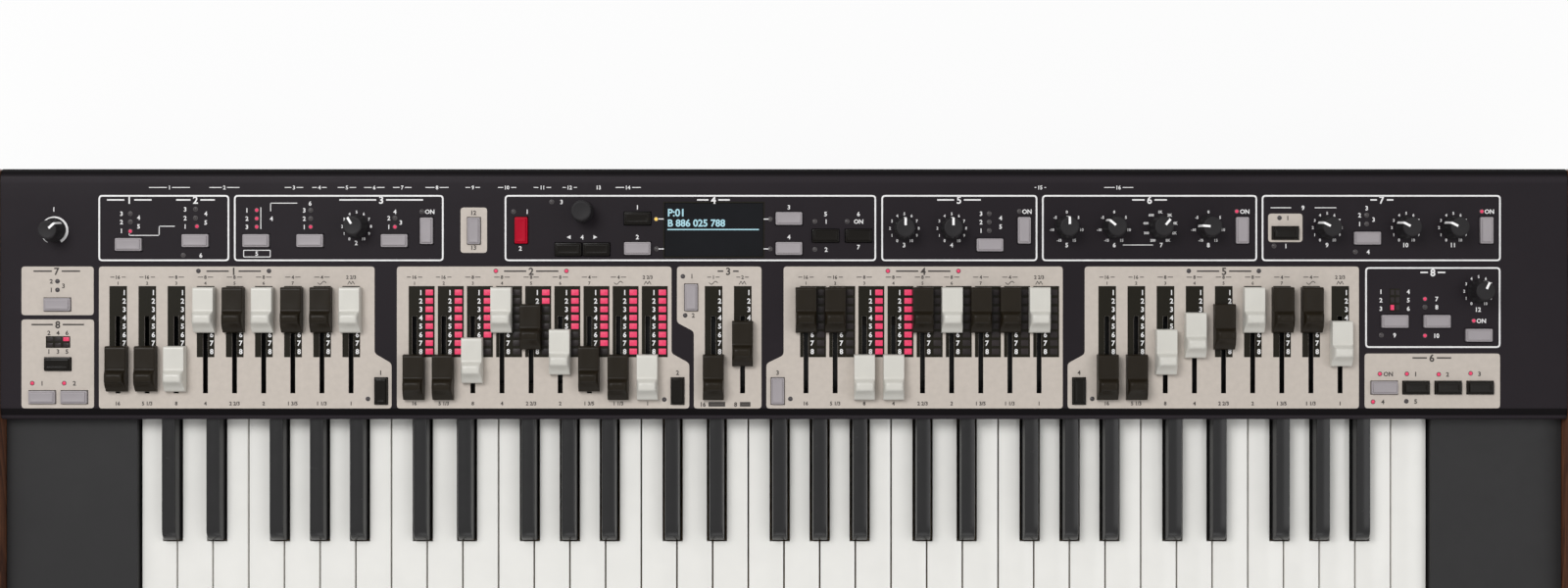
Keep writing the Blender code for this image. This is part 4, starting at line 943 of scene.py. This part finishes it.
darkLabels = [("2", 52.4, 287), ("1", 52.4, 295.8), ("3", 64.8, 291.6), ("2", 50, 339.6),
              ("4", 59.2, 339.6), ("6", 68.4, 339.6), ("1", 50, 358.6), ("3", 59.2, 358.6),
              ("5", 68.4, 358.6), ("1", 43, 391), ("2", 76, 391), ("1", 388.5, 380.2),
              ("2", 691.4, 380.2), ("3", 793.5, 380.2), ("4", 1101, 380.2), ("1", 706, 281.8),
              ("2", 707.4, 321.8), ("16", 717.6, 412.6), ("8", 750.6, 412.6), ("13", 483.5, 252.6),
              ("1", 1314, 222.4), ("ON", 1416.5, 381.6), ("1", 1444.5, 381.6), ("2", 1477, 382),
              ("3", 1509.6, 381.4), ("4", 1411, 410), ("5", 1444.5, 409.6), ("12", 483.5, 217)]
footage = ["16", "5 1/3", "8", "4", "2 2/3", "2", "1 3/5", "1 1/3", "1"]
registers = ["16", "16", "8", "8", "8", "8", "4", "4", "2 2/3"]
socketMarks = [(173, 41), (229, 30), (300, 18), (326, 14), (354, 18), (382, 20), (410.5, 18), (446, 23),
               (482.5, 14), (517.5, 18), (553.5, 17), (581.5, 14), (611, 9), (641, 25), (1061.5, 11),
               (1141.5, 29)]
# one swing of a sine, and two peaks
waves = [[(4.2 * t, -1.6 * np.sin(pi * t)) for t in np.linspace(-1, 1, 9)],
         [(-3.4, 1.5), (-1.7, -1.5), (0, 1.2), (1.7, -1.5), (3.4, 1.5)]]
# thin lines as a width and their places, arrowheads, and small frames with their stroke and corner
whiteLines = [(0.8, (131.9, 238.6), (131.9, 240.2), (162.5, 240.2), (162.5, 230.9), (178, 230.9)),
              (0.8, (276.2, 215.2), (276.2, 207.3), (303, 207.3)), (0.8, (266.2, 212), (266.2, 233.4)),
              (0.8, (1146.2, 250), (1176, 250)), (0.9, (1297, 212), (1317, 212)),
              (0.9, (1342, 212), (1363, 212)), (1.0, (672.4, 223.4), (676.8, 223.4)),
              (1.0, (672.4, 254), (676.8, 254)),
              (1.0, (779.6, 223.6), (783.8, 223.6)), (1.0, (779.6, 254), (783.8, 254))]
darts = [(580.3, 242, -2.0), (607.5, 242, 2.0)]
whiteFrame = (248.3, 255, 276.2, 262.6, 0.8, 1.0)
darkFrames = [(723, 410.2, 740, 414.9, 2.3, 0.5), (755, 410.2, 765.8, 414.9, 2.3, 0.5)]
titleRow, waveRow, numberRow, footageRow, socketRow = 282.8, 288.6, 288.9, 411.6, 191.3


def setMarks(setName):
    # what stands over and under each slot of a set
    shapes = []
    for i, slot in enumerate(slotUnits(setName)):
        if setName == "pedal":
            text, width, kind = str(i + 1), printing["pedalWidth"], i
        else:
            text, width, kind = registers[i], printing["slotWidth"], i - 7
            shapes.append(label(footage[i], slot, footageRow, printing["footage"]))
        under = (wave(slot, waveRow, kind) if kind >= 0
                 else label(str(i + 1), slot, numberRow, printing["number"]))
        shapes += [titled(text, slot, titleRow, width, printing["register"]), under]
    return shapes


def scaleMarks():
    shapes = []
    for x, back, _, marks in knobs.values():
        radius = scale["eleven" if len(marks) == 11 else "others"]
        for mark, turn in zip(marks, np.radians(np.linspace(-scale["sweep"], scale["sweep"], len(marks)))):
            size = scale["short" if len(mark) < 3 else "long"]
            place = fromFront(x + radius * np.sin(turn), back + radius * np.cos(turn))
            shapes.append(moved(figures(mark, size * unit, printing["mark"]), place))
    return shapes


def levelMark():
    # round the first knob: an arc whose width grows as it goes round
    outer, steps = levelArc["outer"], levelArc["steps"]
    turn = np.radians(np.linspace(-scale["sweep"], scale["sweep"], steps))
    width = (levelArc["narrow"] + levelArc["grow"] * np.linspace(0, 1, steps) ** levelArc["power"]) * mm
    ways = np.column_stack([np.sin(turn), np.cos(turn)])
    outline = np.vstack([ways * outer, (ways * (outer - width)[:, None])[::-1]])
    return flatFill([fromFront(*knobs["master_level"][:2])[:2] + outline], printing["mark"])


def buildPrinting():
    white = [ring(*box, *printing["frame"]) for box in frames] + [ring(*whiteFrame)]
    white += [titled(*title, printing["title"]) for title in whiteTitles]
    white += [label(*mark, printing["small"]) for mark in whiteLabels]
    white += [titled(str(n), x, socketRow, width, printing["socket"])
              for n, (x, width) in enumerate(socketMarks, 1)]
    white += [dart(*mark) for mark in darts] + [polyline(places, width) for width, *places in whiteLines]
    dark = [titled(*title, printing["title"]) for title in darkTitles]
    dark += [label(*mark, printing["small"]) for mark in darkLabels] + [ring(*box) for box in darkFrames]
    dark += [shape for setName in drawbarSets for shape in setMarks(setName)]
    addPiece("print_white", joined(white), whiteInk)
    addPiece("print_dark", joined(dark), darkInk)
    addPiece("knob_scales", joined(scaleMarks()), whiteInk)
    addPiece("level_mark", levelMark(), whiteInk)


buildFields()
buildWindows()
buildPrinting()
print("printing done")


# Lamps and display: places on the grid, sizes in mm

litLamps = [(133, 236), (201, 231), (262, 214.5), (262, 223), (262, 231.5), (317, 231.5), (403, 231.5),
            (33, 391), (65.5, 391), (506, 276.5), (578, 276.5), (906, 276.5), (978, 276.5),
            (1262, 215.7), (1512, 215.8), (1454, 305), (1454, 342.5), (1503.8, 327.3), (1408, 381.5),
            (1435.5, 381.5), (1468, 382), (1500.6, 381), (1401, 410)]
darkLamps = [(133, 218), (133, 226.5), (199.5, 213.5), (199.5, 222.5), (187, 260.5), (317, 214.5),
             (317, 223), (403, 222.5), (430.5, 216), (524, 216), (563, 206), (831.5, 226),
             (831.5, 254.5), (864.5, 226), (1009.4, 218), (1009.4, 226.6), (1009.4, 235.3),
             (1040.3, 215.7), (1305.6, 222.4), (1300, 251), (1394.5, 219.5), (1394.5, 228.5),
             (1383, 257), (1454, 313.4), (1409.5, 342), (1435, 409.5), (58.7, 287), (58.7, 295.8),
             (202.5, 276.5), (274.5, 276.5), (1213, 276.5), (1284.5, 276.5), (696.8, 282),
             (699.2, 321.8), (375.5, 407), (677.9, 407.7), (806.5, 407), (1114.5, 407), (670, 254),
             (786, 223.6), (786, 254)]
amberLamp = [(669.5, 223.6)]
lamp = {"radius": 1.15, "ring": 1.55, "rise": 0.75, "seat": 0.15, "foot": -0.5, "rim": (0.14, 0.22)}
# two small windows: left, top, right, bottom, columns, rows and the light that is on
lightWindows = [(46.8, 343, 71.8, 355, 3, 2, (2, 0)), (1418, 294.5, 1428.4, 317.6, 2, 3, (0, 2))]


def buildLamps():
    r, band, rise, seat = (lamp[key] for key in ("radius", "ring", "rise", "seat"))
    lens = lathe([(r, -1)] + [(max(r * np.cos(turn), 0.02), seat + (rise - seat) * np.sin(turn))
                              for turn in np.linspace(0, pi / 2, 4)], 12)
    foot, (low, high) = lamp["foot"], lamp["rim"]
    collar = lathe([(r * 0.9, foot), (band, foot), (band, low), (band - 0.12, high), (r * 1.02, high),
                    (r * 0.9, 0.1)], 16, hollow=True)
    everyLamp = litLamps + darkLamps + amberLamp
    for name, shape, spots, finish in (
            ("lamps_lit", lens, litLamps, redGlow), ("lamps_dark", lens, darkLamps, darkLens),
            ("lamp_amber", lens, amberLamp, amberGlow), ("lamp_collars", collar, everyLamp, lampRing)):
        addPiece(name, repeated(shape, [onPanel(*spot) for spot in spots]), finish)


def buildLightWindows():
    glass, lit, dark = [], [], []
    for left, top, right, bottom, columns, rows, on in lightWindows:
        half = ((right - left) / 2 * unit, (bottom - top) / 2 * unit)
        glass.append(moved(pillow(half, 0.3 * mm, 0, 0.22 * mm, 0.08 * mm),
                           onPanel((left + right) / 2, (top + bottom) / 2)))
        wide, tall = (right - left) / columns, (bottom - top) / rows
        cell = pillow((wide * 0.36 * unit, tall * 0.34 * unit), 0.2 * mm, 0, 0.3 * mm, 0.1 * mm)
        for i, j in np.ndindex(columns, rows):
            place = onPanel(left + (i + 0.5) * wide, top + (j + 0.5) * tall)
            (lit if (i, j) == on else dark).append(moved(cell, place))
    addPiece("lamp_windows", joined(glass), windowInk)
    addPiece("window_cells_dark", joined(dark), darkCell)
    addPiece("window_cells_lit", joined(lit), redGlow)


display = {"level": -0.38 * mm, "thick": 0.096 * mm, "frame": 0.7 * mm, "frameRise": 0.2 * mm,
           "rows": [("P:01", 681.5, 216.8, 7.6), ("B 886 025 788", 681.5, 227.4, 7.2)],
           "rule": [(681, 233.6), (774.4, 233.6), (774.4, 234.8), (681, 234.8)]}


def buildDisplay():
    # the glass stands in its window; figures and a rule glow on it
    level = panelTop + display["level"]
    shapes = []
    for text, x, y, size in display["rows"]:
        points, faces = figures(text, size * unit, display["thick"])
        shapes.append((points - [points[:, 0].min(), 0, 0] + onPanel(x, y, display["level"]), faces))
    shapes.append(slab(gridToPanel(display["rule"]), level, level + display["thick"]))
    addPiece("display_figures", joined(shapes), cyanGlow)
    left, right, near, far = displayWindow
    inner = np.array([(left, near), (right, near), (right, far), (left, far)])
    outer = inner + np.array([(-1, -1), (1, -1), (1, 1), (-1, 1)]) * display["frame"]
    addPiece("display_frame", flatFill([outer, inner], display["frameRise"]), windowInk)


buildLamps()
buildLightWindows()
buildDisplay()
dress(displayGlass, "display_module")
print("lamps and display built")


# Keys

keys = {"count": 36, "pitch": 23.5 * mm, "gap": 1 * mm, "length": 190 * mm, "visible": 133 * mm,
        "plate": 6 * mm, "lip": 20 * mm, "lipWall": 3 * mm, "shift": 2.8 * mm, "sharpFront": 50 * mm,
        "sharpWidth": 11 * mm, "sharpTop": 9 * mm, "sharpRise": 11.5 * mm, "notchGap": 1.2 * mm,
        "sideGap": 1 * mm,
        # half width, start behind the key's front, end before its rear and depth under the plate; a
        # sharp's stick is deeper where it holds the hinge
        "naturalStick": (3.5 * mm, 6 * mm, 4 * mm, 8 * mm),
        "sharpSticks": [(2.5 * mm, 53 * mm, 32 * mm, 8 * mm), (2.5 * mm, 158 * mm, 18 * mm, 11.7 * mm)],
        # bars that join the keys: start and end before their rear, lowest and highest depth
        "naturalBar": (8 * mm, 0, 8 * mm, 0), "sharpBar": (24 * mm, 16 * mm, 15 * mm, 9.67 * mm)}
# where each manual's front and top lie; which naturals of an octave a sharp follows, and which way it
# stands off the middle between them
manuals = {"upper": (-93.7 * mm, 140 * mm), "lower": (-190 * mm, 82 * mm)}
shifts = {0: -1, 1: 1, 3: -1, 4: 0, 5: 1}

# rows along a natural: back from its front and down from its top, in mm; and along a sharp from its front
naturalEdge = [(0, 2.4), (0.05, 2.0), (0.5, 0.9), (1.2, 0.3), (2.2, 0), (3, 0), (3.01, 0)]
sharpEdge = [(0, 9.5), (0.15, 8.0), (0.7, 6.6), (2.2, 3.6), (4.0, 1.5), (5.6, 0.5), (7.6, 0.1), (12, 0)]


def keyShape(y, low, high, feet, sides, soft):
    # outlines across a key, with softened upper edges, carried from its front to its rear
    (footLeft, footRight), (left, right) = feet, sides
    x = [footLeft, left, left + 0.3 * soft, left + soft, right - soft, right - 0.3 * soft, right, footRight]
    z = [low, high - soft, high - 0.3 * soft, high, high, high - 0.3 * soft, high - soft, low]
    return loft(np.stack([np.stack(np.broadcast_arrays(a, y, b), -1) for a, b in zip(x, z)], 1))


def naturalShape(outer, inner, front, top):
    # a lip hangs in front of the plate, and the key is narrower past the sharps' front
    back, down = np.array(naturalEdge).T * mm
    notch = keys["sharpFront"] - keys["notchGap"]
    y = front + np.append(back, [notch, notch + 0.01 * mm, keys["visible"]])
    low = top - np.where(y < front + keys["lipWall"] + 0.005 * mm, keys["lip"], keys["plate"])
    sides = [np.where(y < front + notch + 0.005 * mm, a, b) for a, b in zip(outer, inner)]
    return keyShape(y, low, top - np.append(down, [0, 0, 0]), sides, sides, 0.6 * mm)


def sharpShape(x, front, top):
    # a tapered bar with a sloping, rounded front end
    back, down = np.array(sharpEdge).T * mm
    y = np.append(front + keys["sharpFront"] + back, front + keys["visible"])
    low, high = top - keys["plate"], top + keys["sharpRise"]
    z = high - np.append(down, 0)
    base = keys["sharpWidth"] / 2
    half = base + (keys["sharpTop"] / 2 - base) * (z - low) / (high - low)
    return moved(keyShape(y, low, z, (-base, base), (-half, half), 1.1 * mm), (x, 0, 0))


def stickShape(x, front, under, form):
    # the hidden rear part of a key
    half, near, short, deep = form
    return block((x - half, front + near, under - deep), (x + half, front + keys["length"] - short, under))


def buildKeys():
    count, pitch = keys["count"], keys["pitch"]
    end = count * pitch / 2
    sharps = {i: (i + 1) * pitch - end + shifts[i % 7] * keys["shift"]
              for i in range(count - 1) if i % 7 in shifts}
    reach = keys["sharpWidth"] / 2 + keys["sideGap"]
    for manual, (front, top) in manuals.items():
        under, rear = top - keys["plate"], front + keys["length"]
        whites, blacks = [], []
        for i in range(count):
            left = i * pitch - end + keys["gap"] / 2
            right = left + pitch - keys["gap"]
            inner = (sharps[i - 1] + reach if i - 1 in sharps else left,
                     sharps[i] - reach if i in sharps else right)
            whites += [naturalShape((left, right), inner, front, top),
                       stickShape(sum(inner) / 2, front, under, keys["naturalStick"])]
        for x in sharps.values():
            blacks.append(sharpShape(x, front, top))
            blacks += [stickShape(x, front, under, form) for form in keys["sharpSticks"]]
        for shapes, (near, far, low, high) in ((whites, keys["naturalBar"]), (blacks, keys["sharpBar"])):
            shapes.append(block((-end, rear - near, under - low), (end, rear - far, under - high)))
        for kind, shapes, finish, smooth in (("naturals", whites, ivory, 30), ("sharps", blacks, ebony, 40)):
            addPiece(f"{manual}_{kind}_shaped", joined(shapes), finish, f"{manual}_{kind}", smooth)


buildKeys()
print("keys built")


# Case: cheeks, surrounds, tray, feet, rear, screws

cheek = {"thickness": 18.5 * mm, "inner": 510 * mm, "round": 5 * mm, "edge": 1.6 * mm}
cheekOutline = [(-199.5, 8), (199.5, 8), (199.5, 160), (-77.7, 160), (-93.7, 152), (-125.7, 100),
                (-141.7, 96), (-199.5, 93.9)]
foot = {"radius": 12.0, "height": 7.7, "sides": 40,
        "places": {"left": -469.7, "right": 469.7, "front": -159.5, "rear": 159.5}}


def buildCheeks():
    outline = rounded(np.array(cheekOutline) * mm, cheek["round"], 7)
    for side, name in ((-1, "left"), (1, "right")):
        walls = (side * cheek["inner"], side * (cheek["inner"] + cheek["thickness"]))
        shape = loft([np.insert(outline, 0, x, 1) for x in walls])
        addPiece(f"{name}_cheek_shaped", shape, wood, f"{name}_cheek", 30, cheek["edge"])


def buildFeet():
    r, h, places = foot["radius"], foot["height"], foot["places"]
    shape = lathe([(0.02, 1.2), (4.2, 1.2), (4.6, 0.0), (r * 0.86, 0.0), (r * 0.9, 0.25), (r * 0.985, 1.6),
                   (r, 2.4), (r, h - 0.4), (r - 0.3, h), (0.02, h)], foot["sides"])
    for end in ("front", "rear"):
        for side in ("left", "right"):
            name = f"foot_{end}_{side}"
            place = (places[side] * mm, places[end] * mm, 0)
            addPiece(name + "_moulded", moved(shape, place), rubber, name, 30)


buildCheeks()
for node, finish, edge in (("lower_surround", blackPlastic, 0.8), ("upper_surround", blackPlastic, 0.8),
                           ("base_tray", steel, 0.25), ("power_supply", zinc, 0.6)):
    refined(node, finish, edge * mm)
dress(chipboard, "lower_keybed", "upper_keybed")
dress(blackBoard, "control_board")
dress(circuit, "main_board")
buildFeet()


# Rear: distances in mm, across from the middle and towards the rear

sockets = {
    "jacks": [-364.0, -318.8, -302.2, -284.3, -266.5, -248.3, -225.7, -157.1, -139.3, -101.4],
    "rounds": [-202.4, -180.1], "square": -120.5, "speaker": -399.7, "height": 60.0, "lip": 199.2,
    "inside": 195.7, "rear": 171.7, "board": (-422.7, -86.6, 43.6, 1.6),
    # half of the body, radius of the nose and of the bore, depth of the bore and number of sides
    "forms": {"jacks": (6.8, 4.6, 3.25, 24, 28), "rounds": (9.2, 8.4, 6.9, 11, 36),
              "speaker": (15, 14, 11.5, 12, 44)},
    "nut": [(4.62, 197.6), (6.0, 197.6), (6.2, 197.8), (6.2, 198.55), (5.6, 198.85), (4.62, 198.85)],
    "washer": [(4.62, 197.51), (6.9, 197.51), (6.9, 197.62), (4.62, 197.62)],
    "pin": [(0.02, 188.3), (0.62, 188.3), (0.62, 196.0), (0.4, 196.4), (0.02, 196.5)],
    # angles and radius of the pins, and how far back they stand
    "fans": {"rounds": ([-90, -45, 0, 45, 90], 4.4, 0.0), "speaker": (np.arange(8) * 45, 8.6, -1.0)},
    # the square socket's tongue and body: half width, and from rear to front
    "tongue": (2.8, -10.9, -2.4, 1.6), "squareBody": (5.6, 2, 187.9, 4),
}
numbering = {"tall": 3.6 * mm, "thick": 0.12 * mm, "height": 39.5 * mm}
mains = {"x": 166.7, "flange": (25, 13.5), "neck": (14, 10), "bore": (12.2, 8.2), "corner": 2.2,
         "rear": 171.7, "depth": 16, "blade": (1.0 * mm, 2.0 * mm), "length": 11.5 * mm,
         "blades": [(-7, -2), (0, 2), (7, -2)], "screws": ((-18.5, 18.5), 198.2)}
rocker = {"x": 217.7, "flange": (11, 15.6), "neck": (9.4, 14), "bore": (8, 12.4), "corner": 0.9,
          "rear": 183.7, "depth": 12, "half": (7.5, 11.2), "axis": 193.4, "tilt": np.radians(8),
          "sides": [(0, 0.4), (0.12, 0.12), (0.4, 0)], "marks": [("1", 5.6), ("0", -5.6)],
          "markSize": 4.2, "markOut": 2.36, "markThick": 0.1, "out": 2.4, "curve": 1.6, "foot": (-3.0, 5.0)}
squareBox = {"x": sockets["square"], "flange": (5.6, 5.2), "neck": (5.6, 5.2), "bore": (4.3, 3.9),
             "corner": 0.5, "rear": 188.0, "depth": 10.8}


def rearBox(left, right, near, far, low, high, finish=0):
    return block(np.array([left, near, low]) * mm, np.array([right, far, high]) * mm, finish)


def wallBox(form, finish=0):
    # rounded outlines from the neck's rear end out to the flange, over its edge and down into the bore
    flange, neck, bore = (np.array(form[key]) for key in ("flange", "neck", "bore"))
    lip = sockets["lip"]
    rings = [(neck, form["rear"]), (neck, wallFace), (flange, wallFace), (flange, lip - 0.35),
             (flange - 0.12, lip - 0.1), (flange - 0.4, lip), (bore + 0.45, lip), (bore + 0.12, lip - 0.12),
             (bore, lip - 0.45), (bore, lip - form["depth"])]
    if form["flange"] == form["neck"]:
        del rings[1:3]
    shape = loft([np.insert(roundRect(*half, form["corner"], 5), 1, y, 1) * mm for half, y in rings], finish)
    return moved(shape, (form["x"] * mm, 0, sockets["height"] * mm))


def socketShape(x, half, nose, bore, depth, sides):
    # a body box, a square collar with a round hole, and in it the nose with a blind bore that stays open
    z, lip, rear = sockets["height"], sockets["lip"], sockets["rear"]
    front = lip - depth - 1.0
    collar = roundRect(half, half, 0.6, 8)
    angle = np.arctan2(collar[:, 1], collar[:, 0])
    hole = np.column_stack([np.cos(angle), np.sin(angle)]) * (nose - 0.05)
    inner = sockets["inside"]
    loops = [(collar, front), (collar, inner), (hole, inner), (hole, front), (collar, front)]
    grid = np.stack([np.insert(outline + [x, z], 1, y, 1) for outline, y in loops]) * mm
    profile = [(0.02, front + 0.1), (nose, front + 0.1), (nose, lip - 0.25), (nose - 0.25, lip),
               (bore + 0.3, lip), (bore, lip - 0.35), (bore, lip - depth), (0.02, lip - depth)]
    tube = lathe(profile, sides, "y")
    shapes = [surface(grid, True), moved(tube, (x * mm, 0, z * mm))]
    if front - rear > 1.5:
        shapes.append(rearBox(x - half, x + half, rear + 1, front, sockets["board"][2], z + half))
    return joined(shapes)


def fanOf(pin, x, angles, radius, back):
    # pins round a socket's middle
    angles, middle = np.radians(angles), np.array([x, back, sockets["height"]])
    ways = np.column_stack([np.sin(angles), 0 * angles, np.cos(angles)])
    return repeated(pin, (middle + ways * radius) * mm)


def buildSockets():
    z, lip, rear = sockets["height"], sockets["lip"], sockets["rear"]
    left, right, boardTop, board = sockets["board"]
    shapes = [rearBox(left, right, rear, sockets["inside"], boardTop - board, boardTop, 3)]
    for kind, form in sockets["forms"].items():
        shapes += [socketShape(x, *form) for x in np.atleast_1d(sockets[kind])]
    for profile, sides in ((sockets["nut"], 6), (sockets["washer"], 32)):
        rim = lathe(profile, sides, "y", 1, hollow=True)
        shapes.append(repeated(rim, [(x * mm, 0, z * mm) for x in sockets["jacks"]]))
    pin = lathe(sockets["pin"], 10, "y", 2)
    for kind, fan in sockets["fans"].items():
        shapes += [fanOf(pin, x, *fan) for x in np.atleast_1d(sockets[kind])]
    x = sockets["square"]
    half, near, far, tall = sockets["tongue"]
    shapes += [wallBox(squareBox, 1), rearBox(x - half, x + half, lip + near, lip + far, z - tall, z + tall)]
    half, near, far, tall = sockets["squareBody"]
    shapes.append(rearBox(x - half, x + half, rear + near, far, boardTop, z + tall))
    addPiece("socket_row", joined(shapes), [blackPlastic, nickel, brass, circuit], "socket_board", 30)


def buildRearMarks():
    # the sockets' numbers stand upright on the rear wall, read from behind
    marks = []
    for n, (across, _) in enumerate(socketMarks, 1):
        points, faces = figures(str(n), numbering["tall"], numbering["thick"])
        place = [(across - 800) * unit, wallFace * mm, numbering["height"]]
        marks.append((points[:, [0, 2, 1]] * [-1, 1, 1] + place, faces))
    addPiece("rear_numbers", joined(marks), whiteInk)


def buildMains():
    z, bottom = sockets["height"], sockets["lip"] - mains["depth"]
    points, faces = pillow(mains["blade"], 0.4 * mm, -1 * mm, mains["length"], 0.4 * mm, 1)
    blades = [(points[:, [0, 2, 1]] + np.array([mains["x"] + across, bottom, z + up]) * mm, faces)
              for across, up in mains["blades"]]
    shape = joined([wallBox(mains), *blades])
    addPiece("mains_inlet_moulded", shape, [blackPlastic, nickel], "mains_inlet", 30)
    addPiece("switch_frame_moulded", wallBox(rocker), blackPlastic, "power_switch_frame", 30)


def buildRocker():
    # its face is the curve out + curve (z / half)^2 before the axis, tilted, and carried across
    half, high = rocker["half"]
    back, end = rocker["foot"]

    def tipped(x, out, up):
        c, s = np.cos(rocker["tilt"]), np.sin(rocker["tilt"])
        return np.stack([rocker["x"] + x, rocker["axis"] + out * c - up * s,
                         sockets["height"] + out * s + up * c], -1) * mm

    up = np.linspace(-high, high, 17)
    out = np.concatenate([[back], rocker["out"] + rocker["curve"] * (up / high) ** 2, [back]])
    up = np.concatenate([[-end], up, [end]])
    rows = [(inset - half, drop) for inset, drop in rocker["sides"]]
    rows += [(half - inset, drop) for inset, drop in rocker["sides"][::-1]]
    shapes = [loft([tipped(np.full(len(up), x), out - drop, up) for x, drop in rows])]
    for mark, middle in rocker["marks"]:
        points, faces = figures(mark, rocker["markSize"], 1.0, 1)
        x, y, z = points.T
        height = middle + y
        out = rocker["markOut"] + rocker["curve"] * (height / high) ** 2 + rocker["markThick"] * z
        shapes.append((tipped(-x, out, height), faces))
    addPiece("power_rocker_curved", joined(shapes), [blackPlastic, markWhite], "power_rocker", 35)


screw = {"head": 3.0, "rise": 1.3, "recess": 1.9, "deep": 0.75}
# in mm: all pairs of (across, up) on the rear wall, and of (across, back) on the case's underside
screwRows = {"rear": ((-495, -440, -330, -60, 60, 260, 380, 495), (28, 128)),
             "under": ((-500, -330, -165, 0, 165, 330, 500), (-180, 0, 180))}
underside = 8


def screwShape():
    # a pan head with a cross recess pressed into it
    r, h = screw["head"], screw["rise"]
    turn = np.linspace(0, pi / 2, 5)
    radius, along = np.append(r, r * np.cos(turn) ** 0.6), np.append(-0.6, h * np.sin(turn) * 0.9 + 0.1)
    radius[-1] = 0.02
    angle = np.linspace(0, 2 * pi, 24, endpoint=False)
    sink = np.where(radius < screw["recess"], screw["deep"], 0)[:, None] * (np.abs(np.cos(2 * angle)) > 0.93)
    x, y = np.outer(radius, np.cos(angle)), np.outer(radius, np.sin(angle))
    return loft(np.stack([x, y, along[:, None] - sink], -1) * mm)


def buildScrews():
    points, faces = screwShape()
    rearWay, underWay = (points[:, [0, 2, 1]], faces), (points * [1, 1, -1], faces)
    rear = [(x, wallFace, z) for x in screwRows["rear"][0] for z in screwRows["rear"][1]]
    under = [(x, y, underside) for x in screwRows["under"][0] for y in screwRows["under"][1]]
    sides, face = mains["screws"]
    flange = [(mains["x"] + side, face, sockets["height"]) for side in sides]
    shapes = [repeated(way, np.array(places) * mm)
              for way, places in ((rearWay, rear), (underWay, under), (rearWay, flange))]
    addPiece("case_screws", joined(shapes), screwSteel, smooth=30)


buildSockets()
buildRearMarks()
buildMains()
buildRocker()
buildScrews()
print("case built")


# Floor, light, camera

# the share of the world that lights the object, and each lamp's place, size and power
light = {"sky": 0.42, "lamps": {"key": ((-0.95, 1.15, 2.5), 1.2, 42), "fill": ((1.7, 0.3, 2.2), 1.8, 14),
                                "front": ((0.1, -2.2, 1.0), 1.6, 7)}, "aim": (0, 0.08, 0.12)}
view = {"distance": 1.50, "width": 1.020, "middle": 117.9 * mm}
floor = {"half": 6.0, "tone": 0.90, "spread": 0.01, "seen": 0.86}


def buildStage():
    # seen directly, through clear pieces or in a gloss it is nearly white, and keeps the object's shadow
    finish = Finish("paleFloor", [floor["tone"]] * 3, 0.9, shine=0.1)
    tones = [(place, [floor["tone"] + way * floor["spread"]] * 3) for place, way in ((0.3, -1), (0.7, 1))]
    finish.feed("Base Color", finish.ramp(finish.noise(1.4, 4), tones))
    white = finish.add("Emission", None, {"Color": (1, 1, 1, 1), "Strength": 1.0})
    shader = Wire(finish, finish.shader.outputs[0])
    mixed = finish.add("MixShader", None, {0: finish.seen() * floor["seen"], 1: shader, 2: white})
    finish.feed("Surface", mixed, finish.tree.nodes["Material Output"])
    square = np.array([(-1, -1, 0), (1, -1, 0), (1, 1, 0), (-1, 1, 0)]) * floor["half"]
    mesh = bpy.data.meshes.new("floor")
    mesh.from_pydata(square.tolist(), [], [(0, 1, 2, 3)])
    mesh.materials.append(finish.material)
    placeObject("floor", mesh)


def buildWorld():
    world = bpy.data.worlds.new("studio")
    bpy.context.scene.world = world
    world.use_nodes = True
    sky = Nodes(world.node_tree, "Background")
    sky.feed("Color", (1, 1, 1, 1))
    sky.feed("Strength", sky.seen() * (1 - light["sky"]) + light["sky"])


def buildLamp(name, place, size, power):
    lampData = bpy.data.lights.new(name, "AREA")
    lampData.shape, lampData.size, lampData.energy = "SQUARE", size, power
    thing = placeObject(name, lampData)
    thing.location = place
    thing.rotation_mode = "QUATERNION"
    thing.rotation_quaternion = (Vector(light["aim"]) - Vector(place)).to_track_quat("-Z", "Y")


def buildCamera():
    data = bpy.data.cameras.new("camera")
    data.sensor_width = 36
    data.lens = data.sensor_width * view["distance"] / view["width"]
    data.clip_start, data.clip_end = 0.05, 50
    camera = placeObject("camera", data)
    camera.location = (0, view["middle"], panelTop + view["distance"])
    bpy.context.scene.camera = camera


buildStage()
buildWorld()
for lampName, lampValues in light["lamps"].items():
    buildLamp(lampName, *lampValues)
buildCamera()
bpy.context.scene.view_settings.view_transform = "Standard"
print("stage, light and camera set")
